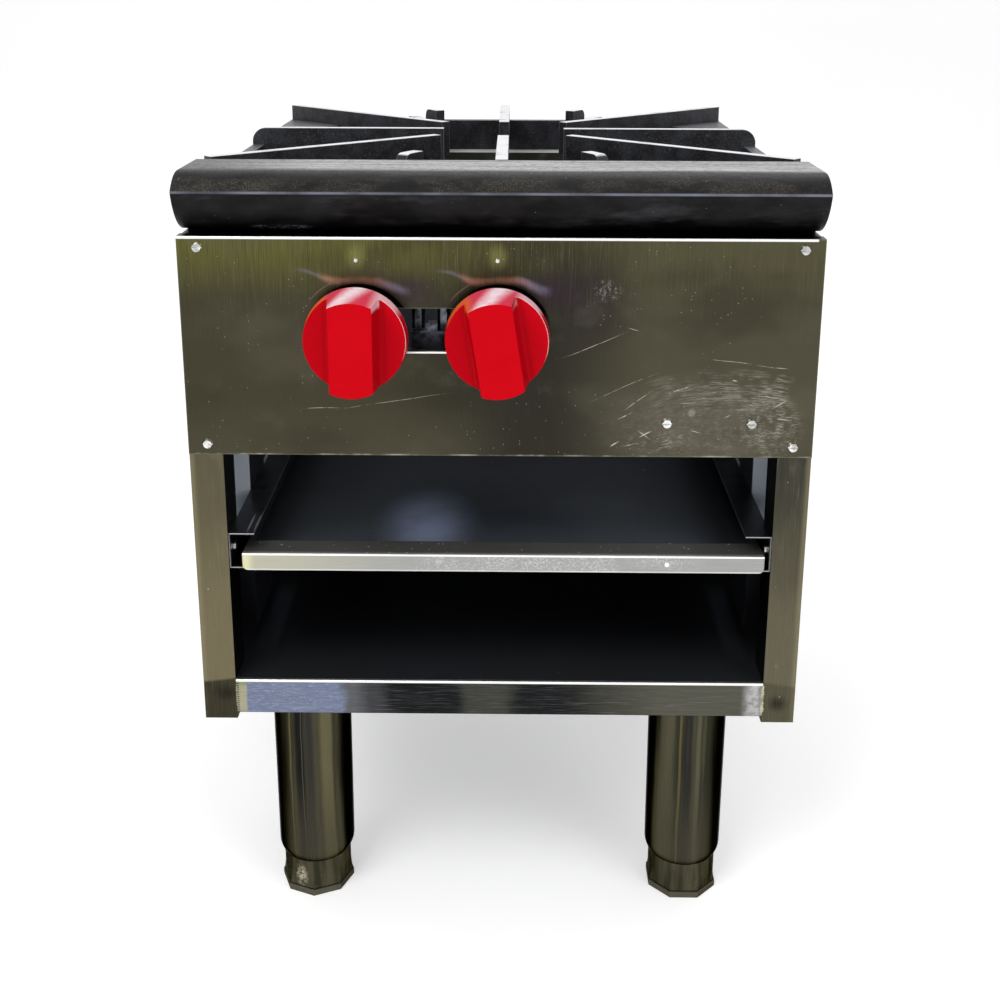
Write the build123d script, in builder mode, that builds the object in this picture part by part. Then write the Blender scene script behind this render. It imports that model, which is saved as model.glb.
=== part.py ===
from build123d import *

import os
from math import cos, hypot, radians, sin, sqrt

# Stock pot range: a stainless cabinet on four tubular legs, with a cast iron pot grate and
# front ledge on top, two ring burners under the grate, a gas train behind the control panel,
# a sliding crumb tray and an open storage shelf.
# Millimetres. +Z is up, +X is to the right of a person facing the range, and the front faces
# -Y. The origin is on the floor, under the middle of the whole range.

# ---- driving dimensions ---------------------------------------------------------------------

# cabinet
body_width = 457.2
body_depth = 510.0
leg_height = 194.2            # floor to the lower ends of the corner posts
post_drop = 5.2               # how far the posts reach below the shelf's flange
shelf_flange = 28.2
storage_height = 93.0         # shelf to the lower edge of the tray's lip
tray_lip = 13.4
tray_opening = 79.2           # tray lip to the lower edge of the control panel
panel_height = 162.6
sheet = 1.2                   # panels, shelf, tray and guides
frame_sheet = 1.5             # posts, top rails, braces and the manifold bracket
post_face = 25.0
post_depth = 34.0
rail_flange = 35.0            # top rails at the sides and the back
front_rail_flange = 95.0      # the front rail is wider: it carries the ledge and the grate
rail_leg = 20.0
hem = 12.0                    # turned edges of the panel and of the shelf's flange
brace_start = 91.0            # from the front of the cabinet
brace_width = 78.0

# control panel
panel_return = 15.0
slot_left = -122.0
slot_right = 18.0
slot_height = 32.0
slot_rise = 3.1               # knob axes to the slot's middle
slot_radius = 3.0
slot_sill = 6.0
knob_spacing = 100.0          # the left knob stands in line with the outer burner's ring
knob_axis_drop = 70.5         # panel top to the knobs' axes
screw_from_side = 14.6
screw_from_top = 7.7
screw_from_bottom = 8.4
screw_head_radius = 4.0
screw_head_height = 2.6
screw_head_taper = 20.0       # degrees
screw_radius = 2.0
screw_length = 9.0
screw_slot = 1.2
bracket_screw_from_side = 45.6
bracket_screw_spacing = 61.5
bracket_screw_rise = 26.2     # panel's lower edge to the bracket's screws
rivet_drop = 16.6             # panel top to the index rivets
rivet_radius = 2.0
rivet_height = 1.2
rivet_taper = 30.0            # degrees

# knobs and valves
knob_diameter = 74.5
knob_draft = 3.4              # how much smaller the radius is at the face
knob_depth = 35.0
knob_standoff = 12.0
knob_rim = 10.0
grip_width = 30.0
grip_draft = 2.6
grip_fillet = 4.0
knob_edge = 1.0
knob_recess = 4.0
knob_wall = 5.0
knob_boss_radius = 9.0
right_knob_turn = 9.0         # degrees, anticlockwise as seen from the front
stem_radius = 4.0
stem_in_knob = 22.0
stem_in_valve = 16.0
valve_radius = 13.0
bonnet_radius = 10.0
outlet_radius = 8.0
valve_start = 24.0            # front of the cabinet to the front of a valve's body
valve_length = 40.0
bonnet_length = 8.0
outlet_length = 8.0
inlet_radius = 6.5
orifice_radius = 6.0
orifice_length = 21.0
orifice_bore = 1.2
orifice_collar = 1.4

# gas train
pipe_radius = 13.335
pipe_wall = 2.87
manifold_drop = 36.2          # knob axes to the manifold's axis
manifold_setback = 45.0       # front of the cabinet to the manifold's axis
manifold_from_side = 78.6     # left end
supply_from_side = 45.6
fitting_wall = 3.8
fitting_depth = 15.0
inlet_reach = 25.0            # how far the gas inlet stands out of the back
inlet_thread = 22.0           # plain stand-in for the thread
inlet_relief = 1.0            # depth of the groove behind the thread
bracket_height = 20.0
bracket_margin = 9.0
bracket_arm = 26.0
pilot_block_x = -52.0
pilot_block_width = 28.0
pilot_block_depth = 24.0
pilot_block_height = 16.0
pilot_nut_radius = 4.9
pilot_nut_height = 16.0
pilot_nut_spacing = 19.0
pilot_lug_width = 7.2
pilot_lug_depth = 8.0
pilot_lug_height = 6.4
pilot_lug_offset = 1.7        # to the right of the block's middle
pilot_tube_radius = 2.4
pilot_tube_bend = 9.0
pilot_tube_rise = 13.0
pilot_tip_radius = 5.0
pilot_tip_height = 15.0
outer_pilot_distance = 112.0  # in front of the burners' centre
inner_pilot_distance = 58.0

# burners
burner_setback = 287.0        # front of the cabinet to the burners' centre
burner_drop = 9.2             # panel top to the top of the burners
burner_height = 30.0
outer_ring_radius = 120.0
outer_ring_width = 36.0
inner_head_radius = 46.0
burner_wall = 6.0
burner_chamfer = 4.0
outer_ports = 40
inner_ports = 16
port_radius = 1.6
venturi_radius = 16.0
venturi_wall = 4.6
mouth_setback = 92.0          # front of the cabinet to the venturis' mouths
mouth_radius = 21.0
mouth_length = 12.0
mouth_plate = 4.0
air_hole_radius = 5.0
air_hole_offset = 13.0
centre_hole_radius = 7.6
shutter_plate = 2.0
shutter_skirt = 12.0
shutter_wall = 1.5
support_width = 20.0
support_thickness = 4.0
support_offset = 32.0         # burner centre to each support's middle
support_leg = 9.0
support_tab = 21.0

# crumb tray and its guides
guide_height = 28.1
guide_rise = 0.2              # tray lip's lower edge to the guides' lower edge
guide_flange = 19.5
guide_start = 3.0             # front of the cabinet to the guides' ends
tray_side_gap = 6.4
tray_shift = 2.6              # the tray lies a little to the right in its guides
tray_strip = 24.6             # the flat behind the tray's lip
tray_back_gap = 19.0
tray_corner = 4.0
guide_screw_inset = 12.0
guide_screw_radius = 3.6
guide_screw_height = 2.2

# front ledge
ledge_top_rise = 44.4         # panel top to the ledge's top
ledge_depth = 74.5            # from the front of the cabinet to the ledge's back
ledge_nose = 8.3              # how far the nose stands out in front of the cabinet
ledge_crease_drop = 12.2
ledge_top_start = 16.0
ledge_under_bulge = 7.0       # how full the curve under the crease is
ledge_foot = 26.0
ledge_seat = 36.0             # front of the cabinet to where the ledge rests on the rail
ledge_lift = 2.2              # shadow gap in front of that seat
ledge_wall = 7.0
ledge_boss_from_side = 78.6
ledge_boss_setback = 50.0
ledge_boss_radius = 9.0
ledge_bolt_radius = 4.0
ledge_bolt_reach = 20.0
ledge_bolt_head = 6.5
ledge_bolt_head_height = 5.0

# pot grate
grate_gap = 1.0               # to the ledge and the cabinet's back
grate_side_gap = 2.2
grate_wall = 10.0
grate_wall_height = 30.6
grate_rise = 15.1             # how far the ribs stand above the grate's walls
rib_thickness = 9.5
rib_depth = 31.0              # height of a rib inside the walls
rib_tip = 54.0                # burner centre to the ribs' inner ends
rib_outer_radius = 12.0
corner_web = 7.0
corner_web_radius = 232.0
diagonal_front_inset = (3.2, 11.5)     # the grate's corner to the rib's end, along X and Y
diagonal_back_inset = (4.2, 8.0)
finger_x = 66.0               # a short rib's inner end
finger_setback = 161.0        # burner centre to a short rib's inner end, along Y
finger_angle = 30.0           # degrees from straight ahead
finger_length = 24.0          # the raised part
finger_radius = 7.0
finger_web = 4.0              # how far the web behind a finger stands above the grate's walls

# legs and feet
leg_inset = 72.0
leg_top_radius = 32.2
leg_bottom_radius = 31.6
leg_wall = 1.5
leg_lip_radius = 28.5
leg_lip_start = 42.5
leg_lip_end = 32.5
leg_lip_turn = 0.6            # how far the lip has turned in at half its height
leg_plate = 4.0
leg_plate_width = 90.0
foot_flange_radius = 30.5
foot_flange = 5.0
foot_cup_radius = 28.0
foot_flare_radius = 29.7      # over the corners, where the cup meets the flange
foot_flare_top = 17.0
foot_spigot_radius = 10.0
foot_spigot_top = 78.0
insert_start = 44.0
insert_height = 22.0

# clearances
seat_gap = 0.3                # between a loose or moving piece and what it rests on
running_gap = 0.05            # radial, a shaft in its bearing
hole_gap = 0.2                # radial, a fastener or pipe in its hole

# ---- places worked out from the driving dimensions ------------------------------------------

knob_reach = knob_standoff + knob_depth
front_y = (knob_reach - body_depth - inlet_reach) / 2
back_y = front_y + body_depth
half_width = body_width / 2
wall_x = half_width - frame_sheet - sheet      # inner faces of the side panels
inner_post_x = half_width - post_face
post_y = front_y + sheet                       # front faces of the front posts

shelf_low = leg_height + post_drop
shelf_top = shelf_low + shelf_flange
lip_low = shelf_top + storage_height
lip_top = lip_low + tray_lip
panel_low = lip_top + tray_opening
panel_top = panel_low + panel_height
frame_top = panel_top - sheet
frame_under = frame_top - frame_sheet

knob_z = panel_top - knob_axis_drop
outer_ring_middle = outer_ring_radius - outer_ring_width / 2
left_knob_x = -outer_ring_middle
knob_places = {"left": (left_knob_x, 0.0), "right": (left_knob_x + knob_spacing, right_knob_turn)}
slot_low = knob_z + slot_rise - slot_height / 2
bracket_screw_x = half_width - bracket_screw_from_side - bracket_screw_spacing
manifold_left = -half_width + manifold_from_side
supply_x = half_width - supply_from_side
manifold_y = front_y + manifold_setback
manifold_z = knob_z - manifold_drop
pipe_bore = pipe_radius - pipe_wall
fitting_radius = pipe_radius + fitting_wall
bonnet_y = front_y + valve_start - bonnet_length
valve_back_y = front_y + valve_start + valve_length
outlet_y = valve_back_y + outlet_length
mouth_y = front_y + mouth_setback

burner_y = front_y + burner_setback
burner_top = panel_top - burner_drop
burner_low = burner_top - burner_height
pilot_block_low = manifold_z + pipe_radius + seat_gap
pilot_block_top = pilot_block_low + pilot_block_height
pilot_nut_top = pilot_block_top + pilot_nut_height

guide_low = lip_low + guide_rise
guide_x = inner_post_x - sheet                 # inner faces of the guides' webs
tray_x = guide_x - tray_side_gap
tray_xs = (tray_shift - tray_x, tray_shift + tray_x)
tray_floor = guide_low + sheet + seat_gap
tray_back_y = back_y - tray_back_gap

ledge_top = panel_top + ledge_top_rise
ledge_boss_x = half_width - ledge_boss_from_side
grate_low = frame_top + seat_gap
grate_deck = grate_low + grate_wall_height
rib_top = grate_deck + grate_rise
rib_low = rib_top - rib_depth
grate_x = half_width - grate_side_gap
grate_front_y = front_y + ledge_depth + grate_gap
grate_back_y = back_y - grate_gap

leg_x = half_width - leg_inset
leg_places = {
    "front_left": (-leg_x, front_y + leg_inset, 0.0),
    "front_right": (leg_x, front_y + leg_inset, 22.5),
    "back_left": (-leg_x, back_y - leg_inset, 22.5),
    "back_right": (leg_x, back_y - leg_inset, 0.0),
}
leg_top = shelf_top - sheet - leg_plate
sides = {"left": -1, "right": 1}


# ---- helpers --------------------------------------------------------------------------------

def slab(xs, ys, zs, mode=Mode.ADD):
    """A straight block between two values along each axis."""
    centre = tuple((low + high) / 2 for low, high in (xs, ys, zs))
    size = [abs(high - low) for low, high in (xs, ys, zs)]
    with Locations(centre):
        Box(*size, mode=mode)


def rod_x(xs, y, z, radius, mode=Mode.ADD):
    """A cylinder along X."""
    with Locations(((xs[0] + xs[1]) / 2, y, z)):
        Cylinder(radius, abs(xs[1] - xs[0]), rotation=(0, 90, 0), mode=mode)


def rod_y(x, ys, z, radius, mode=Mode.ADD):
    """A cylinder along Y."""
    with Locations((x, (ys[0] + ys[1]) / 2, z)):
        Cylinder(radius, abs(ys[1] - ys[0]), rotation=(90, 0, 0), mode=mode)


def rod_z(x, y, zs, radius, mode=Mode.ADD):
    """A cylinder along Z."""
    with Locations((x, y, (zs[0] + zs[1]) / 2)):
        Cylinder(radius, abs(zs[1] - zs[0]), mode=mode)


def facing_front(x, y, z, turn=0.0):
    """A plane whose X is the range's X and whose normal points out of the front."""
    return Plane((x, y, z), x_dir=(cos(radians(turn)), 0, sin(radians(turn))), z_dir=(0, -1, 0))


def save(piece, name):
    """Label a finished piece and write it to its own file."""
    piece.part.label = name
    export_step(piece.part, f"parts/{name}.step")


def panel_corner_screws():
    """The places of the screws that hold the control panel to the front posts."""
    screw_x = half_width - screw_from_side
    heights = (panel_top - screw_from_top, panel_low + screw_from_bottom)
    return [(side * screw_x, height) for side in (-1, 1) for height in heights]


def bracket_screws():
    """The places of the two screws that hold the manifold bracket to the panel."""
    height = panel_low + bracket_screw_rise
    return [(bracket_screw_x + step * bracket_screw_spacing, height) for step in (0, 1)]


os.makedirs("parts", exist_ok=True)

# ---- cabinet: corner posts, skins and top rails ---------------------------------------------

for side_name, side in sides.items():
    for end_name, face_y, inward in (("front", post_y, 1), ("back", back_y, -1)):
        outer_x = side * half_width
        return_x = side * inner_post_x
        with BuildPart() as post:
            slab((outer_x, return_x), (face_y, face_y + inward * post_depth),
                 (leg_height, frame_under))
            slab((outer_x - side * frame_sheet, return_x + side * frame_sheet),
                 (face_y + inward * frame_sheet, face_y + inward * (post_depth + frame_sheet)),
                 (leg_height, frame_under), Mode.SUBTRACT)
            if end_name == "front":
                for screw_x, screw_z in panel_corner_screws():
                    if screw_x * side > 0:
                        rod_y(screw_x, (face_y, face_y + frame_sheet), screw_z,
                              screw_radius + hole_gap, Mode.SUBTRACT)
        save(post, f"{end_name}_{side_name}_post")

    with BuildPart() as side_panel:
        slab((side * wall_x, side * (wall_x + sheet)),
             (post_y + frame_sheet, back_y - frame_sheet), (shelf_low, frame_under))
    save(side_panel, f"{side_name}_side_panel")

    brace_y = (front_y + brace_start, front_y + brace_start + brace_width)
    with BuildPart() as brace:
        slab((side * inner_post_x, side * wall_x), brace_y, (shelf_top, frame_under))
        slab((side * (inner_post_x + frame_sheet), side * wall_x),
             (brace_y[0] + frame_sheet, brace_y[1] - frame_sheet),
             (shelf_top, frame_under), Mode.SUBTRACT)
    save(brace, f"{side_name}_side_brace")

with BuildPart() as back_panel:
    slab((-inner_post_x, inner_post_x), (back_y - sheet, back_y), (shelf_low, frame_under))
    rod_y(supply_x, (back_y - sheet, back_y), manifold_z, pipe_radius + hole_gap, Mode.SUBTRACT)
save(back_panel, "back_panel")

with BuildPart() as shelf:
    slab((-wall_x, wall_x), (post_y, back_y - sheet), (shelf_low, shelf_top))
    slab((-wall_x + sheet, wall_x - sheet), (post_y + sheet, back_y - 2 * sheet),
         (shelf_low, shelf_top - sheet), Mode.SUBTRACT)
    for side in (-1, 1):
        for end_y in ((post_y, post_y + post_depth), (back_y - post_depth, back_y)):
            slab((side * inner_post_x, side * (wall_x + sheet)), end_y,
                 (shelf_low, shelf_top), Mode.SUBTRACT)
    slab((-inner_post_x, inner_post_x), (post_y, post_y + hem), (shelf_low, shelf_low + sheet))
save(shelf, "bottom_shelf")

rail_x = half_width - rail_flange
front_rail_y = front_y + front_rail_flange
back_rail_y = back_y - rail_flange
rail_low = frame_under - rail_leg
with BuildPart() as front_rail:
    slab((-half_width, half_width), (post_y, front_rail_y), (frame_under, frame_top))
    slab((-rail_x, rail_x), (front_rail_y - frame_sheet, front_rail_y), (rail_low, frame_under))
    for bolt_side in (-1, 1):
        rod_z(bolt_side * ledge_boss_x, front_y + ledge_boss_setback,
              (frame_under, frame_top), ledge_bolt_radius + hole_gap, Mode.SUBTRACT)
save(front_rail, "top_rail_front")

with BuildPart() as back_rail:
    slab((-half_width, half_width), (back_rail_y, back_y), (frame_under, frame_top))
    slab((-rail_x, rail_x), (back_rail_y, back_rail_y + frame_sheet), (rail_low, frame_under))
save(back_rail, "top_rail_back")

for side_name, side in sides.items():
    with BuildPart() as side_rail:
        slab((side * rail_x, side * half_width), (front_rail_y, back_rail_y),
             (frame_under, frame_top))
        slab((side * rail_x, side * (rail_x + frame_sheet)), (front_rail_y, back_rail_y),
             (rail_low, frame_under))
    save(side_rail, f"top_rail_{side_name}")

# ---- control panel and its fasteners --------------------------------------------------------

with BuildPart() as control_panel:
    slab((-half_width, half_width), (front_y, front_y + sheet), (panel_low, panel_top))
    slab((-half_width, half_width), (front_y, front_y + hem), (frame_top, panel_top))
    slab((-inner_post_x + sheet, inner_post_x - sheet), (front_y, front_y + panel_return),
         (panel_low, panel_low + sheet))
    slot_middle = (slot_left + slot_right) / 2
    with BuildSketch(facing_front(slot_middle, front_y + sheet, slot_low + slot_height / 2)):
        RectangleRounded(slot_right - slot_left, slot_height, slot_radius)
    extrude(amount=sheet, mode=Mode.SUBTRACT)
    slab((slot_left + slot_radius, slot_right - slot_radius), (front_y, front_y + slot_sill),
         (slot_low - sheet, slot_low))
    for screw_x, screw_z in panel_corner_screws() + bracket_screws():
        rod_y(screw_x, (front_y, front_y + sheet), screw_z, screw_radius + hole_gap, Mode.SUBTRACT)
    for knob_x, turn in knob_places.values():
        rod_y(knob_x, (front_y, front_y + sheet), panel_top - rivet_drop,
              rivet_radius / 2, Mode.SUBTRACT)
save(control_panel, "control_panel")

with BuildPart() as panel_screws:
    for screw_x, screw_z in panel_corner_screws() + bracket_screws():
        with BuildSketch(facing_front(screw_x, front_y, screw_z)):
            Circle(screw_head_radius)
        extrude(amount=screw_head_height, taper=screw_head_taper)
        rod_y(screw_x, (front_y, front_y + screw_length), screw_z, screw_radius)
        slot_half = screw_head_radius + screw_slot
        slab((screw_x - slot_half, screw_x + slot_half),
             (front_y - screw_head_height, front_y - screw_head_height + screw_slot),
             (screw_z - screw_slot / 2, screw_z + screw_slot / 2), Mode.SUBTRACT)
save(panel_screws, "panel_screws")

with BuildPart() as rivets:
    for knob_x, turn in knob_places.values():
        rivet_z = panel_top - rivet_drop
        with BuildSketch(facing_front(knob_x, front_y, rivet_z)):
            Circle(rivet_radius)
        extrude(amount=rivet_height, taper=rivet_taper)
        rod_y(knob_x, (front_y, front_y + 2 * sheet), rivet_z, rivet_radius / 2)
save(rivets, "index_rivets")

# ---- knobs, stems, valves and orifices ------------------------------------------------------

knob_radius = knob_diameter / 2
knob_back_y = front_y - knob_standoff
stem_front_y = knob_back_y - stem_in_knob
stem_back_y = bonnet_y + stem_in_valve
valve_low_z = manifold_z + pipe_bore

for knob_name, (knob_x, turn) in knob_places.items():
    knob_plane = facing_front(knob_x, knob_back_y, knob_z, turn)
    with BuildPart() as knob:
        with BuildSketch(knob_plane):
            Circle(knob_radius)
        with BuildSketch(knob_plane.offset(knob_depth)):
            Circle(knob_radius - knob_draft)
        loft()
        # the shoulders beside the grip, cut along the grip's length
        with BuildSketch(Plane(knob_plane.origin, x_dir=knob_plane.x_dir,
                               z_dir=-knob_plane.y_dir)) as shoulder:
            for side in (-1, 1):
                with BuildLine():
                    top_corner = (side * grip_width / 2, knob_depth + knob_edge)
                    low_corner = (side * (grip_width / 2 + grip_draft), knob_rim)
                    far_low = (side * (knob_radius + knob_edge), knob_rim)
                    far_top = (side * (knob_radius + knob_edge), knob_depth + knob_edge)
                    FilletPolyline(top_corner, low_corner, far_low, radius=grip_fillet)
                    Polyline(far_low, far_top, top_corner)
                make_face()
        extrude(amount=knob_radius + knob_edge, both=True, mode=Mode.SUBTRACT)
        with BuildSketch(knob_plane):
            Circle(knob_radius - knob_wall)
            Circle(knob_boss_radius, mode=Mode.SUBTRACT)
        extrude(amount=knob_recess, mode=Mode.SUBTRACT)
        with BuildSketch(knob_plane):
            Circle(stem_radius)
        extrude(amount=stem_in_knob, mode=Mode.SUBTRACT)
    save(knob, f"{knob_name}_knob")

    with BuildPart() as stem:
        rod_y(knob_x, (stem_front_y, stem_back_y), knob_z, stem_radius)
    save(stem, f"{knob_name}_valve_stem")

    with BuildPart() as valve:
        rod_y(knob_x, (bonnet_y, front_y + valve_start), knob_z, bonnet_radius)
        rod_y(knob_x, (front_y + valve_start, valve_back_y), knob_z, valve_radius)
        rod_y(knob_x, (valve_back_y, outlet_y), knob_z, outlet_radius)
        rod_z(knob_x, manifold_y, (valve_low_z, knob_z), inlet_radius)
        rod_y(knob_x, (bonnet_y, stem_back_y + seat_gap), knob_z, stem_radius + running_gap,
              Mode.SUBTRACT)
    save(valve, f"{knob_name}_valve_body")

    with BuildPart() as orifice:
        with BuildSketch(facing_front(knob_x, outlet_y + orifice_length, knob_z)):
            RegularPolygon(orifice_radius, 6)
        extrude(amount=orifice_length)
        rod_y(knob_x, (outlet_y + orifice_length / 2, outlet_y + orifice_length), knob_z,
              orifice_bore, Mode.SUBTRACT)
        rod_y(knob_x, (outlet_y, outlet_y + orifice_collar), knob_z, outlet_radius)
    save(orifice, f"{knob_name}_orifice")

# ---- manifold, supply pipe and pilots -------------------------------------------------------

with BuildPart() as manifold:
    rod_x((manifold_left, supply_x - fitting_radius), manifold_y, manifold_z, pipe_radius)
    rod_x((manifold_left, supply_x - fitting_radius), manifold_y, manifold_z, pipe_bore,
          Mode.SUBTRACT)
    tap_top = manifold_z + pipe_radius
    for knob_x, turn in knob_places.values():
        rod_z(knob_x, manifold_y, (manifold_z, tap_top), inlet_radius, Mode.SUBTRACT)
    rod_z(pilot_block_x, manifold_y, (manifold_z, tap_top), inlet_radius, Mode.SUBTRACT)
save(manifold, "manifold_pipe")

cap_x = manifold_left + fitting_depth
with BuildPart() as cap:
    rod_x((manifold_left - fitting_wall, cap_x), manifold_y, manifold_z, fitting_radius)
    rod_x((manifold_left, cap_x), manifold_y, manifold_z, pipe_radius, Mode.SUBTRACT)
save(cap, "manifold_cap")

elbow_end = fitting_radius + fitting_depth
with BuildPart() as elbow:
    with Locations((supply_x, manifold_y, manifold_z)):
        Sphere(fitting_radius)
    rod_x((supply_x - elbow_end, supply_x), manifold_y, manifold_z, fitting_radius)
    rod_y(supply_x, (manifold_y, manifold_y + elbow_end), manifold_z, fitting_radius)
    rod_x((supply_x - elbow_end, supply_x - fitting_radius), manifold_y, manifold_z,
          pipe_radius, Mode.SUBTRACT)
    rod_y(supply_x, (manifold_y + fitting_radius, manifold_y + elbow_end), manifold_z,
          pipe_radius, Mode.SUBTRACT)
    rod_x((supply_x - fitting_radius, supply_x), manifold_y, manifold_z, pipe_bore, Mode.SUBTRACT)
    rod_y(supply_x, (manifold_y, manifold_y + fitting_radius), manifold_z, pipe_bore,
          Mode.SUBTRACT)
save(elbow, "supply_elbow")

inlet_end = back_y + inlet_reach
supply_ends = (manifold_y + fitting_radius, inlet_end)
with BuildPart() as supply_pipe:
    rod_y(supply_x, (supply_ends[0], back_y + hole_gap), manifold_z, pipe_radius)
    rod_y(supply_x, (back_y, inlet_end), manifold_z, pipe_radius - inlet_relief)
    rod_y(supply_x, (inlet_end - inlet_thread, inlet_end), manifold_z, pipe_radius)
    rod_y(supply_x, supply_ends, manifold_z, pipe_bore, Mode.SUBTRACT)
save(supply_pipe, "supply_pipe")

bracket_z = panel_low + bracket_screw_rise
arm_x = (bracket_screw_x, bracket_screw_x + bracket_arm)
pipe_under = manifold_z - pipe_radius
with BuildPart() as bracket:
    slab((bracket_screw_x - bracket_margin,
          bracket_screw_x + bracket_screw_spacing + bracket_margin),
         (post_y, post_y + frame_sheet),
         (bracket_z - bracket_height / 2, bracket_z + bracket_height / 2))
    slab(arm_x, (post_y, post_y + frame_sheet), (bracket_z, pipe_under))
    slab(arm_x, (post_y, manifold_y + pipe_radius), (pipe_under - frame_sheet, pipe_under))
    for screw_x, screw_z in bracket_screws():
        rod_y(screw_x, (post_y, post_y + frame_sheet), screw_z, screw_radius + hole_gap,
              Mode.SUBTRACT)
save(bracket, "manifold_bracket")

nut_places = [pilot_block_x - pilot_nut_spacing / 2, pilot_block_x + pilot_nut_spacing / 2]
with BuildPart() as pilot_block:
    slab((pilot_block_x - pilot_block_width / 2, pilot_block_x + pilot_block_width / 2),
         (manifold_y - pilot_block_depth / 2, manifold_y + pilot_block_depth / 2),
         (pilot_block_low, pilot_block_top))
    rod_z(pilot_block_x, manifold_y, (valve_low_z, pilot_block_low), inlet_radius)
    lug_x = pilot_block_x + pilot_lug_offset
    slab((lug_x - pilot_lug_width / 2, lug_x + pilot_lug_width / 2),
         (manifold_y - pilot_block_depth / 2, manifold_y - pilot_block_depth / 2 + pilot_lug_depth),
         (pilot_block_top, pilot_block_top + pilot_lug_height))
    for nut_x in nut_places:
        with BuildSketch(Plane((nut_x, manifold_y, pilot_block_top))):
            RegularPolygon(pilot_nut_radius, 6)
        extrude(amount=pilot_nut_height)
        rod_z(nut_x, manifold_y, (pilot_block_top, pilot_nut_top), pilot_tube_radius,
              Mode.SUBTRACT)
save(pilot_block, "pilot_valve")

tube_z = pilot_nut_top + pilot_tube_rise
pilot_ends = [burner_y - outer_pilot_distance, burner_y - inner_pilot_distance]
pilot_tip_low = burner_low + burner_height / 3
with BuildPart() as pilot_tubes:
    for nut_x, tip_y in zip(nut_places, pilot_ends):
        with BuildLine() as route:
            FilletPolyline((nut_x, manifold_y, pilot_block_top), (nut_x, manifold_y, tube_z),
                           (nut_x, tip_y, tube_z), (nut_x, tip_y, pilot_tip_low),
                           radius=pilot_tube_bend)
        with BuildSketch(Plane((nut_x, manifold_y, pilot_block_top))) as section:
            Circle(pilot_tube_radius)
        sweep(section.sketch, path=route.wire())
save(pilot_tubes, "pilot_tubes")

with BuildPart() as pilot_tips:
    for nut_x, tip_y in zip(nut_places, pilot_ends):
        rod_z(nut_x, tip_y, (pilot_tip_low, pilot_tip_low + pilot_tip_height), pilot_tip_radius)
        slab((nut_x - pilot_tip_radius, nut_x + pilot_tip_radius),
             (tip_y, tip_y + pilot_tip_radius),
             (pilot_tip_low + pilot_tip_height - pilot_tube_radius,
              pilot_tip_low + pilot_tip_height), Mode.SUBTRACT)
save(pilot_tips, "pilot_tips")

# ---- burners, supports and air shutters -----------------------------------------------------

venturi_bore = venturi_radius - venturi_wall


def venturi(pipe_x):
    """A venturi from its mouth at the front to a riser under the burner's head."""
    riser_top = burner_low + burner_wall
    rod_y(pipe_x, (mouth_y, burner_y), knob_z, venturi_radius)
    rod_y(pipe_x, (mouth_y, mouth_y + mouth_length), knob_z, mouth_radius)
    rod_z(pipe_x, burner_y, (knob_z, riser_top), venturi_radius)
    with Locations((pipe_x, burner_y, knob_z)):
        Sphere(venturi_radius)
    rod_y(pipe_x, (mouth_y + mouth_plate, burner_y), knob_z, venturi_bore, Mode.SUBTRACT)
    rod_z(pipe_x, burner_y, (knob_z, riser_top), venturi_bore, Mode.SUBTRACT)
    rod_y(pipe_x, (mouth_y, mouth_y + mouth_plate), knob_z, centre_hole_radius, Mode.SUBTRACT)
    for side in (-1, 1):
        rod_y(pipe_x + side * air_hole_offset, (mouth_y, mouth_y + mouth_plate), knob_z,
              air_hole_radius, Mode.SUBTRACT)


with BuildPart() as outer_burner:
    with BuildSketch(Plane((0, burner_y, burner_low))):
        Circle(outer_ring_radius)
        Circle(outer_ring_radius - outer_ring_width, mode=Mode.SUBTRACT)
    extrude(amount=burner_height)
    chamfer(faces().sort_by(Axis.Z)[-1].edges(), burner_chamfer)
    with BuildSketch(Plane((0, burner_y, burner_low + burner_wall))):
        Circle(outer_ring_radius - burner_wall)
        Circle(outer_ring_radius - outer_ring_width + burner_wall, mode=Mode.SUBTRACT)
    extrude(amount=burner_height - 2 * burner_wall, mode=Mode.SUBTRACT)
    venturi(knob_places["left"][0])
    with Locations((0, burner_y, burner_top)):
        with PolarLocations(outer_ring_middle, outer_ports):
            Hole(port_radius, depth=burner_wall)
save(outer_burner, "outer_burner")

with BuildPart() as inner_burner:
    with BuildSketch(Plane((0, burner_y, burner_low))):
        Circle(inner_head_radius)
    extrude(amount=burner_height)
    chamfer(faces().sort_by(Axis.Z)[-1].edges(), burner_chamfer)
    with BuildSketch(Plane((0, burner_y, burner_low + burner_wall))):
        Circle(inner_head_radius - burner_wall)
    extrude(amount=burner_height - 2 * burner_wall, mode=Mode.SUBTRACT)
    venturi(knob_places["right"][0])
    with Locations((0, burner_y, burner_top)):
        with PolarLocations(inner_head_radius - 2 * burner_wall, inner_ports):
            Hole(port_radius, depth=burner_wall)
        with PolarLocations(inner_head_radius / 2, inner_ports // 2):
            Hole(port_radius, depth=burner_wall)
save(inner_burner, "inner_burner")

for end_name, end in (("front", -1), ("back", 1)):
    support_y = burner_y + end * support_offset
    near_y = support_y - end * support_width / 2
    far_y = support_y + end * support_width / 2
    with BuildPart() as support:
        slab((-wall_x, wall_x), (near_y, far_y), (burner_low - support_thickness, burner_low))
        slab((-wall_x, wall_x), (far_y - end * support_thickness, far_y),
             (burner_low - support_thickness - support_leg, burner_low - support_thickness))
        for side in (-1, 1):
            slab((side * (wall_x - support_thickness), side * wall_x), (near_y, far_y),
                 (burner_low - support_thickness - support_tab, burner_low - support_thickness))
    save(support, f"burner_support_{end_name}")

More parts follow.
